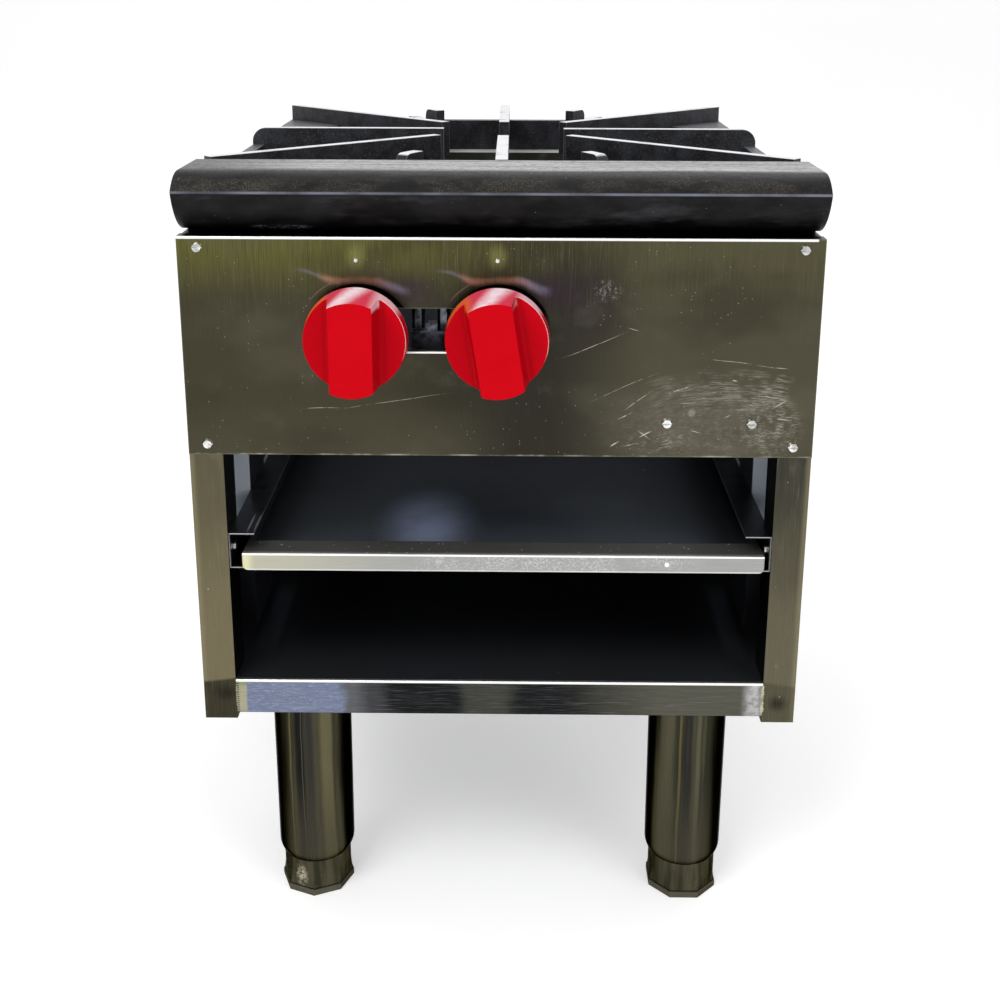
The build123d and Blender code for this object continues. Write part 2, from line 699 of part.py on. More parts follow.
for knob_name, (knob_x, turn) in knob_places.items():
    plate_back = mouth_y - seat_gap
    plate_front = plate_back - shutter_plate
    skirt_inner = mouth_radius + seat_gap
    with BuildPart() as shutter:
        rod_y(knob_x, (plate_front, plate_front + shutter_skirt), knob_z,
              skirt_inner + shutter_wall)
        rod_y(knob_x, (plate_back, plate_front + shutter_skirt), knob_z, skirt_inner,
              Mode.SUBTRACT)
        rod_y(knob_x, (plate_front, plate_back), knob_z, centre_hole_radius, Mode.SUBTRACT)
        for side in (-1, 1):
            rod_y(knob_x + side * air_hole_offset, (plate_front, plate_back), knob_z,
                  air_hole_radius, Mode.SUBTRACT)
    save(shutter, f"{knob_name}_air_shutter")

# ---- crumb tray and guides ------------------------------------------------------------------

for side_name, side in sides.items():
    web = (side * guide_x, side * inner_post_x)
    flange_tip = side * (inner_post_x - guide_flange)
    guide_ys = (front_y + guide_start, back_y - sheet - seat_gap)
    guide_top = guide_low + guide_height
    with BuildPart() as guide:
        slab(web, guide_ys, (guide_low, guide_top))
        slab((flange_tip, side * inner_post_x), guide_ys, (guide_low, guide_low + sheet))
        slab((flange_tip, side * inner_post_x), guide_ys, (guide_top - sheet, guide_top))
    save(guide, f"{side_name}_tray_guide")

with BuildPart() as guide_screws:
    screw_z = guide_low + guide_height / 2
    for side in (-1, 1):
        for screw_y in (post_y + guide_screw_inset, back_y - guide_screw_inset):
            rod_x((side * (guide_x - guide_screw_height), side * guide_x), screw_y, screw_z,
                  guide_screw_radius)
save(guide_screws, "guide_screws")

with BuildPart() as tray:
    strip_y = front_y + tray_strip
    slab(tray_xs, (strip_y - sheet, tray_back_y), (tray_floor, lip_top))
    slab((tray_xs[0] + sheet, tray_xs[1] - sheet), (strip_y, tray_back_y - sheet),
         (tray_floor + sheet, lip_top), Mode.SUBTRACT)
    slab(tray_xs, (front_y, strip_y), (lip_top - sheet, lip_top))
    with BuildSketch(facing_front(tray_shift, front_y + sheet, (lip_low + lip_top) / 2)):
        Rectangle(2 * tray_x, tray_lip)
    extrude(amount=sheet)
    fillet(edges().filter_by(Axis.Y).group_by(Axis.Z)[0], tray_corner)
save(tray, "crumb_tray")

# ---- front ledge ----------------------------------------------------------------------------

ledge_plane = Plane((-half_width, front_y, 0), x_dir=(0, 1, 0), z_dir=(1, 0, 0))
with BuildPart() as ledge:
    with BuildSketch(ledge_plane) as ledge_profile:
        with BuildLine():
            crease = (-ledge_nose, ledge_top - ledge_crease_drop)
            top_front = (ledge_top_start, ledge_top)
            foot = (ledge_foot, frame_top + ledge_lift)
            Polyline(foot, (ledge_seat, frame_top + ledge_lift), (ledge_seat, frame_top),
                     (ledge_depth, frame_top), (ledge_depth, ledge_top), top_front)
            TangentArc(top_front, crease, tangent=(-1, 0))
            SagittaArc(crease, foot, -ledge_under_bulge)
        make_face()
    extrude(amount=body_width)
    with BuildSketch(ledge_plane.offset(ledge_wall)):
        add(ledge_profile.sketch_local)
        offset(amount=-ledge_wall, mode=Mode.REPLACE)
    extrude(amount=body_width - 2 * ledge_wall, mode=Mode.SUBTRACT)
    slab((-half_width + ledge_wall, half_width - ledge_wall),
         (front_y + ledge_seat + ledge_wall, front_y + ledge_depth - ledge_wall),
         (frame_top, frame_top + 2 * ledge_wall), Mode.SUBTRACT)
    for bolt_side in (-1, 1):
        bolt_x = bolt_side * ledge_boss_x
        bolt_y = front_y + ledge_boss_setback
        rod_z(bolt_x, bolt_y, (frame_top, ledge_top - ledge_wall), ledge_boss_radius)
        rod_z(bolt_x, bolt_y, (frame_top, frame_top + ledge_bolt_reach + hole_gap),
              ledge_bolt_radius, Mode.SUBTRACT)
save(ledge, "front_ledge")

with BuildPart() as ledge_bolts:
    for bolt_side in (-1, 1):
        bolt_x = bolt_side * ledge_boss_x
        bolt_y = front_y + ledge_boss_setback
        rod_z(bolt_x, bolt_y, (frame_under, frame_top + ledge_bolt_reach), ledge_bolt_radius)
        head_low = frame_under - ledge_bolt_head_height
        with BuildSketch(Plane((bolt_x, bolt_y, head_low))):
            RegularPolygon(ledge_bolt_head, 6)
        extrude(amount=ledge_bolt_head_height)
save(ledge_bolts, "ledge_bolts")

# ---- pot grate ------------------------------------------------------------------------------

frame_ys = (grate_front_y, grate_back_y)
inner_ys = (grate_front_y + grate_wall, grate_back_y - grate_wall)
inner_x = grate_x - grate_wall
with BuildPart() as grate_frame:
    slab((-grate_x, grate_x), frame_ys, (grate_low, grate_deck))
    slab((-inner_x, inner_x), inner_ys, (grate_low, grate_deck - corner_web), Mode.SUBTRACT)
    with BuildSketch(Plane((0, 0, grate_deck - corner_web))):
        with Locations((0, (inner_ys[0] + inner_ys[1]) / 2)):
            Rectangle(2 * inner_x, inner_ys[1] - inner_ys[0])
        with Locations((0, burner_y)):
            Circle(corner_web_radius, mode=Mode.INTERSECT)
    extrude(amount=corner_web, mode=Mode.SUBTRACT)
save(grate_frame, "grate_frame")


def wall_distance(direction):
    """How far from the burners' centre a line meets the inside of the grate's frame."""
    along_x = inner_x / abs(direction[0]) if direction[0] else float("inf")
    wall_y = inner_ys[1] if direction[1] > 0 else inner_ys[0]
    along_y = (wall_y - burner_y) / direction[1] if direction[1] else float("inf")
    return min(along_x, along_y, corner_web_radius)


def rib(tip, end, outer_radius=0.0):
    """One rib, standing on the grate's frame, between two distances along its direction."""
    length = hypot(*end)
    direction = (end[0] / length, end[1] / length)
    reach = wall_distance(direction) - rib_thickness * abs(direction[0] * direction[1])
    rib_plane = Plane((0, burner_y, 0), x_dir=(*direction, 0),
                      z_dir=(direction[1], -direction[0], 0))
    with BuildSketch(rib_plane) as outline:
        with BuildLine():
            Polyline((tip, rib_low), (tip, rib_top), (length, rib_top), (length, grate_deck),
                     (reach, grate_deck), (reach, rib_low), close=True)
        make_face()
        if outer_radius:
            corner = outline.vertices().group_by(Axis.Z)[-1].sort_by(
                lambda vertex: hypot(vertex.X, vertex.Y - burner_y))[-1]
            fillet(corner, outer_radius)
    extrude(outline.sketch, amount=rib_thickness / 2, both=True)


def finger(side, ahead):
    """A short raised rib and its low web, from its tip to the grate's front or back wall."""
    slant = radians(finger_angle)
    direction = (side * sin(slant), ahead * cos(slant))
    wall_y = inner_ys[1] if ahead > 0 else inner_ys[0]
    to_wall = abs(wall_y - burner_y) - finger_setback
    reach = (to_wall - rib_thickness / 2 * sin(slant)) / cos(slant)
    web_end = (to_wall + grate_wall / 2) / cos(slant)
    web_top = grate_deck + finger_web
    finger_plane = Plane((side * finger_x, burner_y + ahead * finger_setback, 0),
                         x_dir=(*direction, 0), z_dir=(direction[1], -direction[0], 0))
    with BuildSketch(finger_plane) as outline:
        with BuildLine():
            FilletPolyline((0, rib_low), (0, rib_top), (finger_length, rib_top),
                           (finger_length, web_top), radius=(0, finger_radius))
            Polyline((finger_length, web_top), (web_end, web_top), (web_end, grate_deck),
                     (reach, grate_deck), (reach, rib_low), (0, rib_low))
        make_face()
    extrude(outline.sketch, amount=rib_thickness / 2, both=True)


with BuildPart() as grate_ribs:
    rib_front = grate_front_y - burner_y
    rib_back = grate_back_y - burner_y
    for side in (-1, 1):
        rib(rib_tip, (side * grate_x, 0), outer_radius=rib_outer_radius)
        rib(rib_tip * sqrt(2), (side * (grate_x - diagonal_front_inset[0]),
                                rib_front + diagonal_front_inset[1]))
        rib(rib_tip * sqrt(2), (side * (grate_x - diagonal_back_inset[0]),
                                rib_back - diagonal_back_inset[1]))
        for ahead in (-1, 1):
            finger(side, ahead)
    rib(rib_tip, (0, rib_front))
    rib(rib_tip, (0, rib_back))
save(grate_ribs, "grate_ribs")

# ---- legs and feet --------------------------------------------------------------------------


def leg_radius(height):
    """The leg's outer radius at a height, which grows a little towards the top."""
    share = (height - leg_lip_start) / (leg_top - leg_lip_start)
    return leg_bottom_radius + (leg_top_radius - leg_bottom_radius) * share


for leg_name, (leg_centre_x, leg_centre_y, turn) in leg_places.items():
    leg_section = Plane((leg_centre_x, leg_centre_y, 0), x_dir=(1, 0, 0), z_dir=(0, -1, 0))
    leg_axis = Axis((leg_centre_x, leg_centre_y, 0), (0, 0, 1))
    with BuildPart() as leg:
        with BuildSketch(leg_section):
            with BuildLine():
                lip_bulge = (leg_radius(leg_lip_start) - leg_lip_turn,
                             (leg_lip_start + leg_lip_end) / 2)
                Line((leg_radius(leg_top), leg_top), (leg_radius(leg_lip_start), leg_lip_start))
                ThreePointArc((leg_radius(leg_lip_start), leg_lip_start), lip_bulge,
                              (leg_lip_radius, leg_lip_end))
                Line((leg_lip_radius, leg_lip_end), (leg_lip_radius - leg_wall, leg_lip_end))
                ThreePointArc((leg_lip_radius - leg_wall, leg_lip_end),
                              (lip_bulge[0] - leg_wall, lip_bulge[1]),
                              (leg_radius(leg_lip_start) - leg_wall, leg_lip_start))
                Line((leg_radius(leg_lip_start) - leg_wall, leg_lip_start),
                     (leg_radius(leg_top) - leg_wall, leg_top))
                Line((leg_radius(leg_top) - leg_wall, leg_top), (leg_radius(leg_top), leg_top))
            make_face()
        revolve(axis=leg_axis)
    save(leg, f"{leg_name}_leg")

    with BuildPart() as foot:
        with BuildSketch(Plane((leg_centre_x, leg_centre_y, 0))):
            RegularPolygon(foot_flange_radius, 8, rotation=turn)
        extrude(amount=foot_flange)
        with BuildSketch(Plane((leg_centre_x, leg_centre_y, foot_flange))):
            RegularPolygon(foot_flare_radius, 8, rotation=turn)
        with BuildSketch(Plane((leg_centre_x, leg_centre_y, foot_flare_top))):
            Circle(foot_cup_radius)
        loft()
        rod_z(leg_centre_x, leg_centre_y, (foot_flare_top, leg_lip_end - seat_gap),
              foot_cup_radius)
        rod_z(leg_centre_x, leg_centre_y, (foot_flange, foot_spigot_top), foot_spigot_radius)
    save(foot, f"{leg_name}_foot")

with BuildPart() as leg_plates:
    for leg_centre_x, leg_centre_y, turn in leg_places.values():
        half_plate = leg_plate_width / 2
        slab((leg_centre_x - half_plate, leg_centre_x + half_plate),
             (leg_centre_y - half_plate, leg_centre_y + half_plate), (leg_top, leg_top + leg_plate))
save(leg_plates, "leg_plates")

with BuildPart() as leg_inserts:
    insert_top = insert_start + insert_height
    for leg_centre_x, leg_centre_y, turn in leg_places.values():
        with BuildSketch(Plane((leg_centre_x, leg_centre_y, insert_start))):
            Circle(leg_radius(insert_start) - leg_wall)
            Circle(foot_spigot_radius + running_gap, mode=Mode.SUBTRACT)
        with BuildSketch(Plane((leg_centre_x, leg_centre_y, insert_top))):
            Circle(leg_radius(insert_top) - leg_wall)
            Circle(foot_spigot_radius + running_gap, mode=Mode.SUBTRACT)
        loft()
save(leg_inserts, "leg_inserts")
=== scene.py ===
from math import atan2, cos, pi, radians, sin

import bmesh
import bpy
from mathutils import Matrix, Vector, noise


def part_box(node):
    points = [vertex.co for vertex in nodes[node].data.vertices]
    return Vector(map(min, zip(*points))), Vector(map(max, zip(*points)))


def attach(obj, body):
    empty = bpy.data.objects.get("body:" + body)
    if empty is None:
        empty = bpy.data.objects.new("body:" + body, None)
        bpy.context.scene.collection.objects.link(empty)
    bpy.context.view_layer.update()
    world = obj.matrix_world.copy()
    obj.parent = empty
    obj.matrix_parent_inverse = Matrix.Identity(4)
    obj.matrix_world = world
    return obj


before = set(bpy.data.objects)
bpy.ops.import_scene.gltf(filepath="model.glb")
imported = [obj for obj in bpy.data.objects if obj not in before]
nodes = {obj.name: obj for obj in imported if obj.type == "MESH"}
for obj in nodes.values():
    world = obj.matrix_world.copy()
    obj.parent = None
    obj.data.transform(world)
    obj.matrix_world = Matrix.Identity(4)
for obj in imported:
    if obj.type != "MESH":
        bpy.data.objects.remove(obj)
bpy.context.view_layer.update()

# Looks for the stock pot range. Metres, in the part's own frame: +Z up, the front faces -Y.

bpy.context.scene.view_settings.view_transform = "Standard"

# ---- places taken from the frame ------------------------------------------------------------

panel_low, panel_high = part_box("control_panel")
shelf_low, shelf_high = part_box("bottom_shelf")
tray_low, tray_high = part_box("crumb_tray")
ledge_low, ledge_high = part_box("front_ledge")
post_low, post_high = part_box("front_left_post")
guide_low, guide_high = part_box("left_tray_guide")
leg_low, leg_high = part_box("front_right_leg")
knob_centres = []
for knob_name in ("left_knob", "right_knob"):
    knob_low, knob_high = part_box(knob_name)
    knob_centres.append((knob_low + knob_high) / 2)
knob_radius = (knob_high.x - knob_low.x) / 2
knob_face_y = knob_low.y
right_knob_turn = 9.0         # degrees
inner_post_x = -post_high.x
leg_radius = (leg_high.x - leg_low.x) / 2
leg_x = (leg_high.x + leg_low.x) / 2
leg_y = (leg_high.y + leg_low.y) / 2
tray_floor_z = tray_low.z + 0.0029
crease_z = ledge_high.z - 0.0122
slot_z = panel_low.z + 0.0792     # the lower edge of the slot between the knobs
rivet_low, rivet_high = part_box("index_rivets")
rivet_z = (rivet_low.z + rivet_high.z) / 2

# ---- tones of what the photograph shows in shadow -------------------------------------------

floor_glow = 0.34             # brings the floor up to white for the camera and in reflections
shelf_dark = (0.062, 0.066, 0.074)
shelf_pale = (0.100, 0.106, 0.120)
tray_dark = (0.044, 0.053, 0.065)
tray_pale = (0.072, 0.086, 0.106)
# the tone of a painted reflection on the tray's floor
tray_reflection_tone = (0.42, 0.50, 0.74)
strip_dark = (0.056, 0.056, 0.052)
strip_pale = (0.090, 0.089, 0.080)
inside_dark = (0.06, 0.065, 0.076)
inside_pale = (0.12, 0.130, 0.155)
guide_dark = (0.02, 0.022, 0.026)
guide_pale = (0.05, 0.054, 0.062)
# how metallic the sheet in the shade looks: the rest of it scatters light
dull_tray = 0.45
dull_shelf = 0.93
dull_skin = 0.86
dark_rim = (0.25, 0.25, 0.22, 1.0)    # keeps glancing reflections on curved steel from whitening

# ---- camera, floor and light ----------------------------------------------------------------

camera_distance = 0.911       # from the control panel
camera_x = 0.0085
camera_height = 0.7525
camera_pitch = radians(15.36)
camera_yaw = radians(0.54)
camera_roll = radians(0.185)
camera_lens = 47.5
camera_shift = -0.161         # the photo is cropped below the lens axis


def make_camera():
    """The photograph's viewpoint, from a fit of the panel, posts, grate, shelf and feet."""
    camera = bpy.data.objects.new("camera", bpy.data.cameras.new("camera"))
    camera.data.sensor_width = 36.0
    camera.data.lens = camera_lens
    camera.data.shift_y = camera_shift
    turn = Matrix.Rotation(camera_yaw, 4, "Z") @ Matrix.Rotation(pi / 2 - camera_pitch, 4, "X")
    place = Matrix.Translation((camera_x, panel_low.y - camera_distance, camera_height))
    camera.matrix_world = place @ turn @ Matrix.Rotation(camera_roll, 4, "Z")
    bpy.context.scene.collection.objects.link(camera)
    bpy.context.scene.camera = camera


floor_reach = 6.0
backdrop_start = 2.5          # behind the range
backdrop_bend = 1.5
backdrop_height = 5.0


def make_floor(finish):
    """A pale floor that curves up into a backdrop behind the range."""
    profile = [(-floor_reach, 0.0), (backdrop_start, 0.0)]
    steps = 12
    for step in range(1, steps + 1):
        angle = step / steps * pi / 2
        profile.append((backdrop_start + backdrop_bend * sin(angle),
                        backdrop_bend * (1 - cos(angle))))
    profile.append((backdrop_start + backdrop_bend, backdrop_height))
    mesh = bpy.data.meshes.new("floor")
    points = [(side * floor_reach, y, z) for y, z in profile for side in (-1, 1)]
    faces = [(2 * i, 2 * i + 1, 2 * i + 3, 2 * i + 2) for i in range(len(profile) - 1)]
    mesh.from_pydata(points, [], faces)
    mesh.shade_smooth()
    mesh.materials.append(finish)
    floor = bpy.data.objects.new("floor", mesh)
    bpy.context.scene.collection.objects.link(floor)


def make_lamp(name, place, size, power):
    """A soft rectangular lamp that points at the middle of the range."""
    lamp = bpy.data.objects.new(name, bpy.data.lights.new(name, "AREA"))
    lamp.data.shape = "RECTANGLE"
    lamp.data.size, lamp.data.size_y = size
    lamp.data.energy = power
    lamp.location = place
    aim = Vector((0.0, 0.0, 0.4)) - Vector(place)
    lamp.rotation_euler = aim.to_track_quat("-Z", "Y").to_euler()
    bpy.context.scene.collection.objects.link(lamp)


world_light = 0.60            # what the white surroundings give to matt surfaces


def make_world():
    """White surroundings, seen as white by the camera and by gloss."""
    world = bpy.data.worlds.new("studio")
    world.use_nodes = True
    bpy.context.scene.world = world
    tree = world.node_tree
    background = tree.nodes["Background"]
    path = tree.nodes.new("ShaderNodeLightPath")
    seen = path.outputs["Is Camera Ray"]
    for ray in ("Is Glossy Ray", "Is Transmission Ray"):
        either = tree.nodes.new("ShaderNodeMath")
        either.operation = "MAXIMUM"
        tree.links.new(seen, either.inputs[0])
        tree.links.new(path.outputs[ray], either.inputs[1])
        seen = either.outputs[0]
    strength = tree.nodes.new("ShaderNodeMapRange")
    strength.inputs["To Min"].default_value = world_light
    strength.inputs["To Max"].default_value = 1.0
    tree.links.new(seen, strength.inputs["Value"])
    tree.links.new(strength.outputs[0], background.inputs["Strength"])
    background.inputs["Color"].default_value = (1.0, 1.0, 1.0, 1.0)


# ---- materials ------------------------------------------------------------------------------

scratch_sway = 0.0032         # how much a long scratch wanders
grain_relief = 0.00003        # depth of the brushing


class Value:
    """An output of a material's nodes. Arithmetic with it adds nodes to the material."""

    def __init__(self, finish, socket):
        self.finish = finish
        self.socket = socket

    def __add__(self, other):
        return self.finish.math("ADD", self, other)

    __radd__ = __add__

    def __sub__(self, other):
        return self.finish.math("SUBTRACT", self, other)

    def __mul__(self, other):
        return self.finish.math("MULTIPLY", self, other)

    def __or__(self, other):
        return self.finish.math("MAXIMUM", self, other)

    def __abs__(self):
        return self.finish.math("ABSOLUTE", self)

    def fade(self, start, end, low=0.0, high=1.0):
        """Goes smoothly from low to high as the value goes from start to end."""
        node = self.finish.add("ShaderNodeMapRange", interpolation_type="SMOOTHSTEP")
        for name, amount in (("Value", self), ("From Min", start), ("From Max", end),
                             ("To Min", low), ("To Max", high)):
            self.finish.feed(node.inputs[name], amount)
        return self.finish.out(node)

    def band(self, start, end, soft):
        """A mask of where the value lies between two others."""
        return self.fade(start - soft, start) * self.fade(end + soft, end)

    def contour(self, level, width):
        """A thin line where the value passes a level."""
        return abs(self - level).fade(width, width * 0.3)


class Finish:
    """A node material whose patterns follow the frame's own coordinates, in metres."""

    def __init__(self, name, **constants):
        self.material = bpy.data.materials.new(name)
        self.material.use_nodes = True
        self.tree = self.material.node_tree
        self.shader = self.tree.nodes["Principled BSDF"]
        for socket, value in constants.items():
            self.shader.inputs[socket.replace("_", " ")].default_value = value
        coordinates = self.add("ShaderNodeTexCoord")
        self.place = self.out(coordinates, "Object")
        self.x, self.y, self.z = self.parts(self.place)
        self.facing = self.parts(self.out(coordinates, "Normal"))
        self.colour = None
        self.swaying = None
        self.last_bump = None

    def add(self, kind, **settings):
        """A new node, with some of its own settings."""
        node = self.tree.nodes.new(kind)
        for setting, value in settings.items():
            setattr(node, setting, value)
        return node

    def out(self, node, output=0):
        return Value(self, node.outputs[output])

    def feed(self, socket, value):
        """Link a socket to a value, or set it to a constant."""
        if isinstance(value, Value):
            self.tree.links.new(value.socket, socket)
        elif isinstance(value, tuple) and len(value) == 3 and socket.type == "RGBA":
            socket.default_value = (*value, 1.0)
        else:
            socket.default_value = value

    def parts(self, vector):
        node = self.add("ShaderNodeSeparateXYZ")
        self.feed(node.inputs[0], vector)
        return tuple(self.out(node, part) for part in range(3))

    def math(self, operation, first, second=0.0):
        node = self.add("ShaderNodeMath", operation=operation)
        self.feed(node.inputs[0], first)
        self.feed(node.inputs[1], second)
        return self.out(node)

    def vector(self, operation, first, second, output=0):
        node = self.add("ShaderNodeVectorMath", operation=operation)
        self.feed(node.inputs[0], first)
        self.feed(node.inputs[1], second)
        return self.out(node, output)

    def any(self, masks):
        """The strongest of several masks."""
        strongest, *others = masks
        for mask in others:
            strongest = strongest | mask
        return strongest

    def spot(self, centre, size, core=0.0):
        """A soft round mask about a point, with its own half-size along each axis."""
        return self.blob(self.place, centre, size).fade(0.0, 1.0 - core)

    def blob(self, place, centre, size, turn=0.0):
        """One at a point, falling to nought at the surface of an ellipsoid about it."""
        local = self.add("ShaderNodeMapping", vector_type="TEXTURE")
        self.feed(local.inputs["Vector"], place)
        local.inputs["Location"].default_value = centre
        local.inputs["Rotation"].default_value = (0.0, turn, 0.0)
        local.inputs["Scale"].default_value = size
        ball = self.add("ShaderNodeTexGradient", gradient_type="SPHERICAL")
        self.feed(ball.inputs[0], self.out(local))
        return self.out(ball, "Fac")

    def polar(self, centre):
        """Distance and angle, clockwise from straight up, about an (x, z) point on the front."""
        across = self.x - centre[0]
        up = self.z - centre[1]
        distance = self.math("SQRT", across * across + up * up)
        return distance, self.math("ARCTAN2", across, up)

    def stretched(self, stretch, turn=0.0, seed=0.0):
        """The coordinates, turned about Y and then scaled."""
        turned = self.add("ShaderNodeMapping")
        self.feed(turned.inputs["Vector"], self.place)
        turned.inputs["Rotation"].default_value = (0.0, radians(turn), 0.0)
        turned.inputs["Location"].default_value = (seed, seed, seed)
        return self.vector("MULTIPLY", self.out(turned), stretch)

    def noise(self, scale, stretch=(1.0, 1.0, 1.0), detail=3.0, rough=0.5, turn=0.0, seed=0.0,
              bend=0.0, place=None):
        node = self.add("ShaderNodeTexNoise")
        self.feed(node.inputs["Vector"], place or self.stretched(stretch, turn, seed))
        for name, amount in (("Scale", scale), ("Detail", detail), ("Roughness", rough),
                             ("Distortion", bend)):
            node.inputs[name].default_value = amount
        return self.out(node)

    def sway(self, scale, detail, amount):
        """A slow noise about nought."""
        return (self.noise(scale, detail=detail) - 0.5) * amount

    def hairs(self, scale, stretch, width, turn=0.0, seed=0.0, bend=0.3):
        """Fine lines along one direction, each a bit curved and broken."""
        lines = self.noise(scale, stretch, 1.0, turn=turn, seed=seed, bend=bend).contour(0.5, width)
        gaps = self.noise(scale * 2.0, detail=2.0, seed=seed + 3.0)
        return lines * gaps.fade(0.45, 0.6)

    def specks(self, scale, size, share, seed=0.0):
        """Small dots, of which only a share of the cells holds one."""
        node = self.add("ShaderNodeTexVoronoi")
        self.feed(node.inputs["Vector"], self.stretched((1.0, 1.0, 1.0), seed=seed))
        node.inputs["Scale"].default_value = scale
        red, green, _ = self.parts(self.out(node, "Color"))
        radius = green.fade(0.0, 1.0, 0.4, 1.0) * size
        chosen = red.fade(share, share - 0.01)
        return self.out(node, "Distance").fade(radius, 0.0) * chosen

    def mix(self, first, second, factor):
        node = self.add("ShaderNodeMix", data_type="RGBA")
        self.feed(node.inputs["Factor"], factor)
        self.feed(node.inputs[6], first)
        self.feed(node.inputs[7], second)
        return self.out(node, 2)

    def paint(self, colour, mask):
        """Lay a colour over what there is, where the mask is."""
        self.colour = self.mix(self.colour, colour, mask)

    def scratch(self, start, end, width):
        """A thin tapering line on the front between two (x, z) points in millimetres."""
        start, end = [Vector((point[0], 0.0, point[1])) / 1000 for point in (start, end)]
        line = end - start
        size = (line.length * 0.55, 1.0, width * 0.8)
        streak = self.blob(self.flat_place(), (start + end) / 2, size, -atan2(line.z, line.x))
        return streak.fade(0.0, 0.6)

    def flat_place(self):
        """The coordinates with no depth, moved up and down a little by a slow noise."""
        if not self.swaying:
            join = self.add("ShaderNodeCombineXYZ")
            self.feed(join.inputs[0], self.x)
            self.feed(join.inputs[2], self.z + self.sway(25.0, 1.0, scratch_sway))
            self.swaying = self.out(join)
        return self.swaying

    def up(self, start=0.5, end=0.9):
        """A mask of what faces up."""
        return self.facing[2].fade(start, end)

    def front(self):
        """A mask of what faces the front."""
        return self.facing[1].fade(-0.7, -0.95)

    def soft_edges(self, radius):
        """Rounds the look of the edges, and returns a mask of them."""
        bevel = self.add("ShaderNodeBevel", samples=6)
        bevel.inputs["Radius"].default_value = radius
        geometry = self.add("ShaderNodeNewGeometry")
        self.last_bump = self.out(bevel)
        straight = self.out(geometry, "Normal")
        return self.vector("DOT_PRODUCT", self.last_bump, straight, 1).fade(0.995, 0.85)

    def bump(self, height, distance):
        """Relief on top of what was there, as deep as distance."""
        node = self.add("ShaderNodeBump")
        node.inputs["Strength"].default_value = 1.0
        node.inputs["Distance"].default_value = distance
        self.feed(node.inputs["Height"], height)
        if self.last_bump:
            self.feed(node.inputs["Normal"], self.last_bump)
        self.last_bump = self.out(node)

    def brushing(self, colour, grain, light, dark, amount=0.4):
        """Fine lighter and darker lines over a colour."""
        colour = self.mix(colour, light, grain.fade(0.5, 0.85, 0.0, amount))
        return self.mix(colour, dark, grain.fade(0.48, 0.2, 0.0, amount))

    def done(self, roughness, metallic=None):
        """The finished material, in its colour as painted."""
        for name, value in (("Base Color", self.colour), ("Roughness", roughness),
                            ("Metallic", metallic), ("Normal", self.last_bump)):
            if value:
                self.feed(self.shader.inputs[name], value)
        return self.material


def brushed(finish, direction):
    """Fine lines along one axis: a mask from nought to one."""
    across = {"X": (1.0, 60.0, 60.0), "Z": (60.0, 60.0, 1.0)}
    return finish.noise(40.0, across[direction], detail=4.0, rough=0.65)


def floor_finish():
    """A pale floor that glows a little where it is seen, and not as a lamp."""
    finish = Finish("pale_floor")
    finish.colour = finish.mix((0.86, 0.86, 0.86), (0.9, 0.9, 0.9), finish.noise(1.5, detail=2.0))
    path = finish.add("ShaderNodeLightPath")
    seen = finish.any(finish.out(path, f"Is {ray} Ray")
                      for ray in ("Camera", "Glossy", "Transmission"))
    finish.feed(finish.shader.inputs["Emission Strength"], seen * floor_glow)
    finish.shader.inputs["Emission Color"].default_value = (1.0, 1.0, 1.0, 1.0)
    return finish.done(0.6)


# the white of the painted highlights along the top edges of the sheet and the slot's sill
highlight_white = (0.95, 0.95, 0.93)
panel_shade = 0.11            # darkens the whole panel a little

# scratches on the panel: two (x, z) ends in millimetres, and a width in metres
panel_scratches = (
    ((43.1, 488.0), (91.3, 507.6), 0.0003), ((90.5, 510.6), (99.9, 507.7), 0.0003),
    ((143.5, 489.0), (198.9, 481.9), 0.0003), ((191.7, 482.4), (207.9, 481.0), 0.0004),
    ((62.9, 455.1), (116.4, 478.2), 0.0002), ((89.6, 448.4), (110.8, 464.3), 0.0004),
    ((85.0, 441.9), (96.9, 447.7), 0.0006), ((120.6, 461.2), (138.4, 468.3), 0.0010),
    ((101.2, 427.3), (111.9, 433.8), 0.0008), ((99.3, 433.7), (111.4, 425.0), 0.0006),
    ((79.4, 420.0), (88.4, 425.3), 0.0008), ((88.0, 420.1), (102.5, 423.4), 0.0005),
    ((138.6, 433.9), (146.0, 431.5), 0.0004), ((195.0, 443.9), (213.3, 441.5), 0.0006),
    ((197.1, 450.3), (208.6, 458.0), 0.0006), ((183.2, 461.6), (208.7, 457.6), 0.0004),
    ((167.1, 472.0), (171.3, 471.3), 0.0007), ((162.4, 443.1), (167.7, 446.3), 0.0004),
    ((128.1, 454.9), (144.9, 455.7), 0.0003), ((-145.5, 449.0), (-109.1, 450.0), 0.0003),
    ((-123.7, 447.6), (-32.6, 461.9), 0.0002),
)


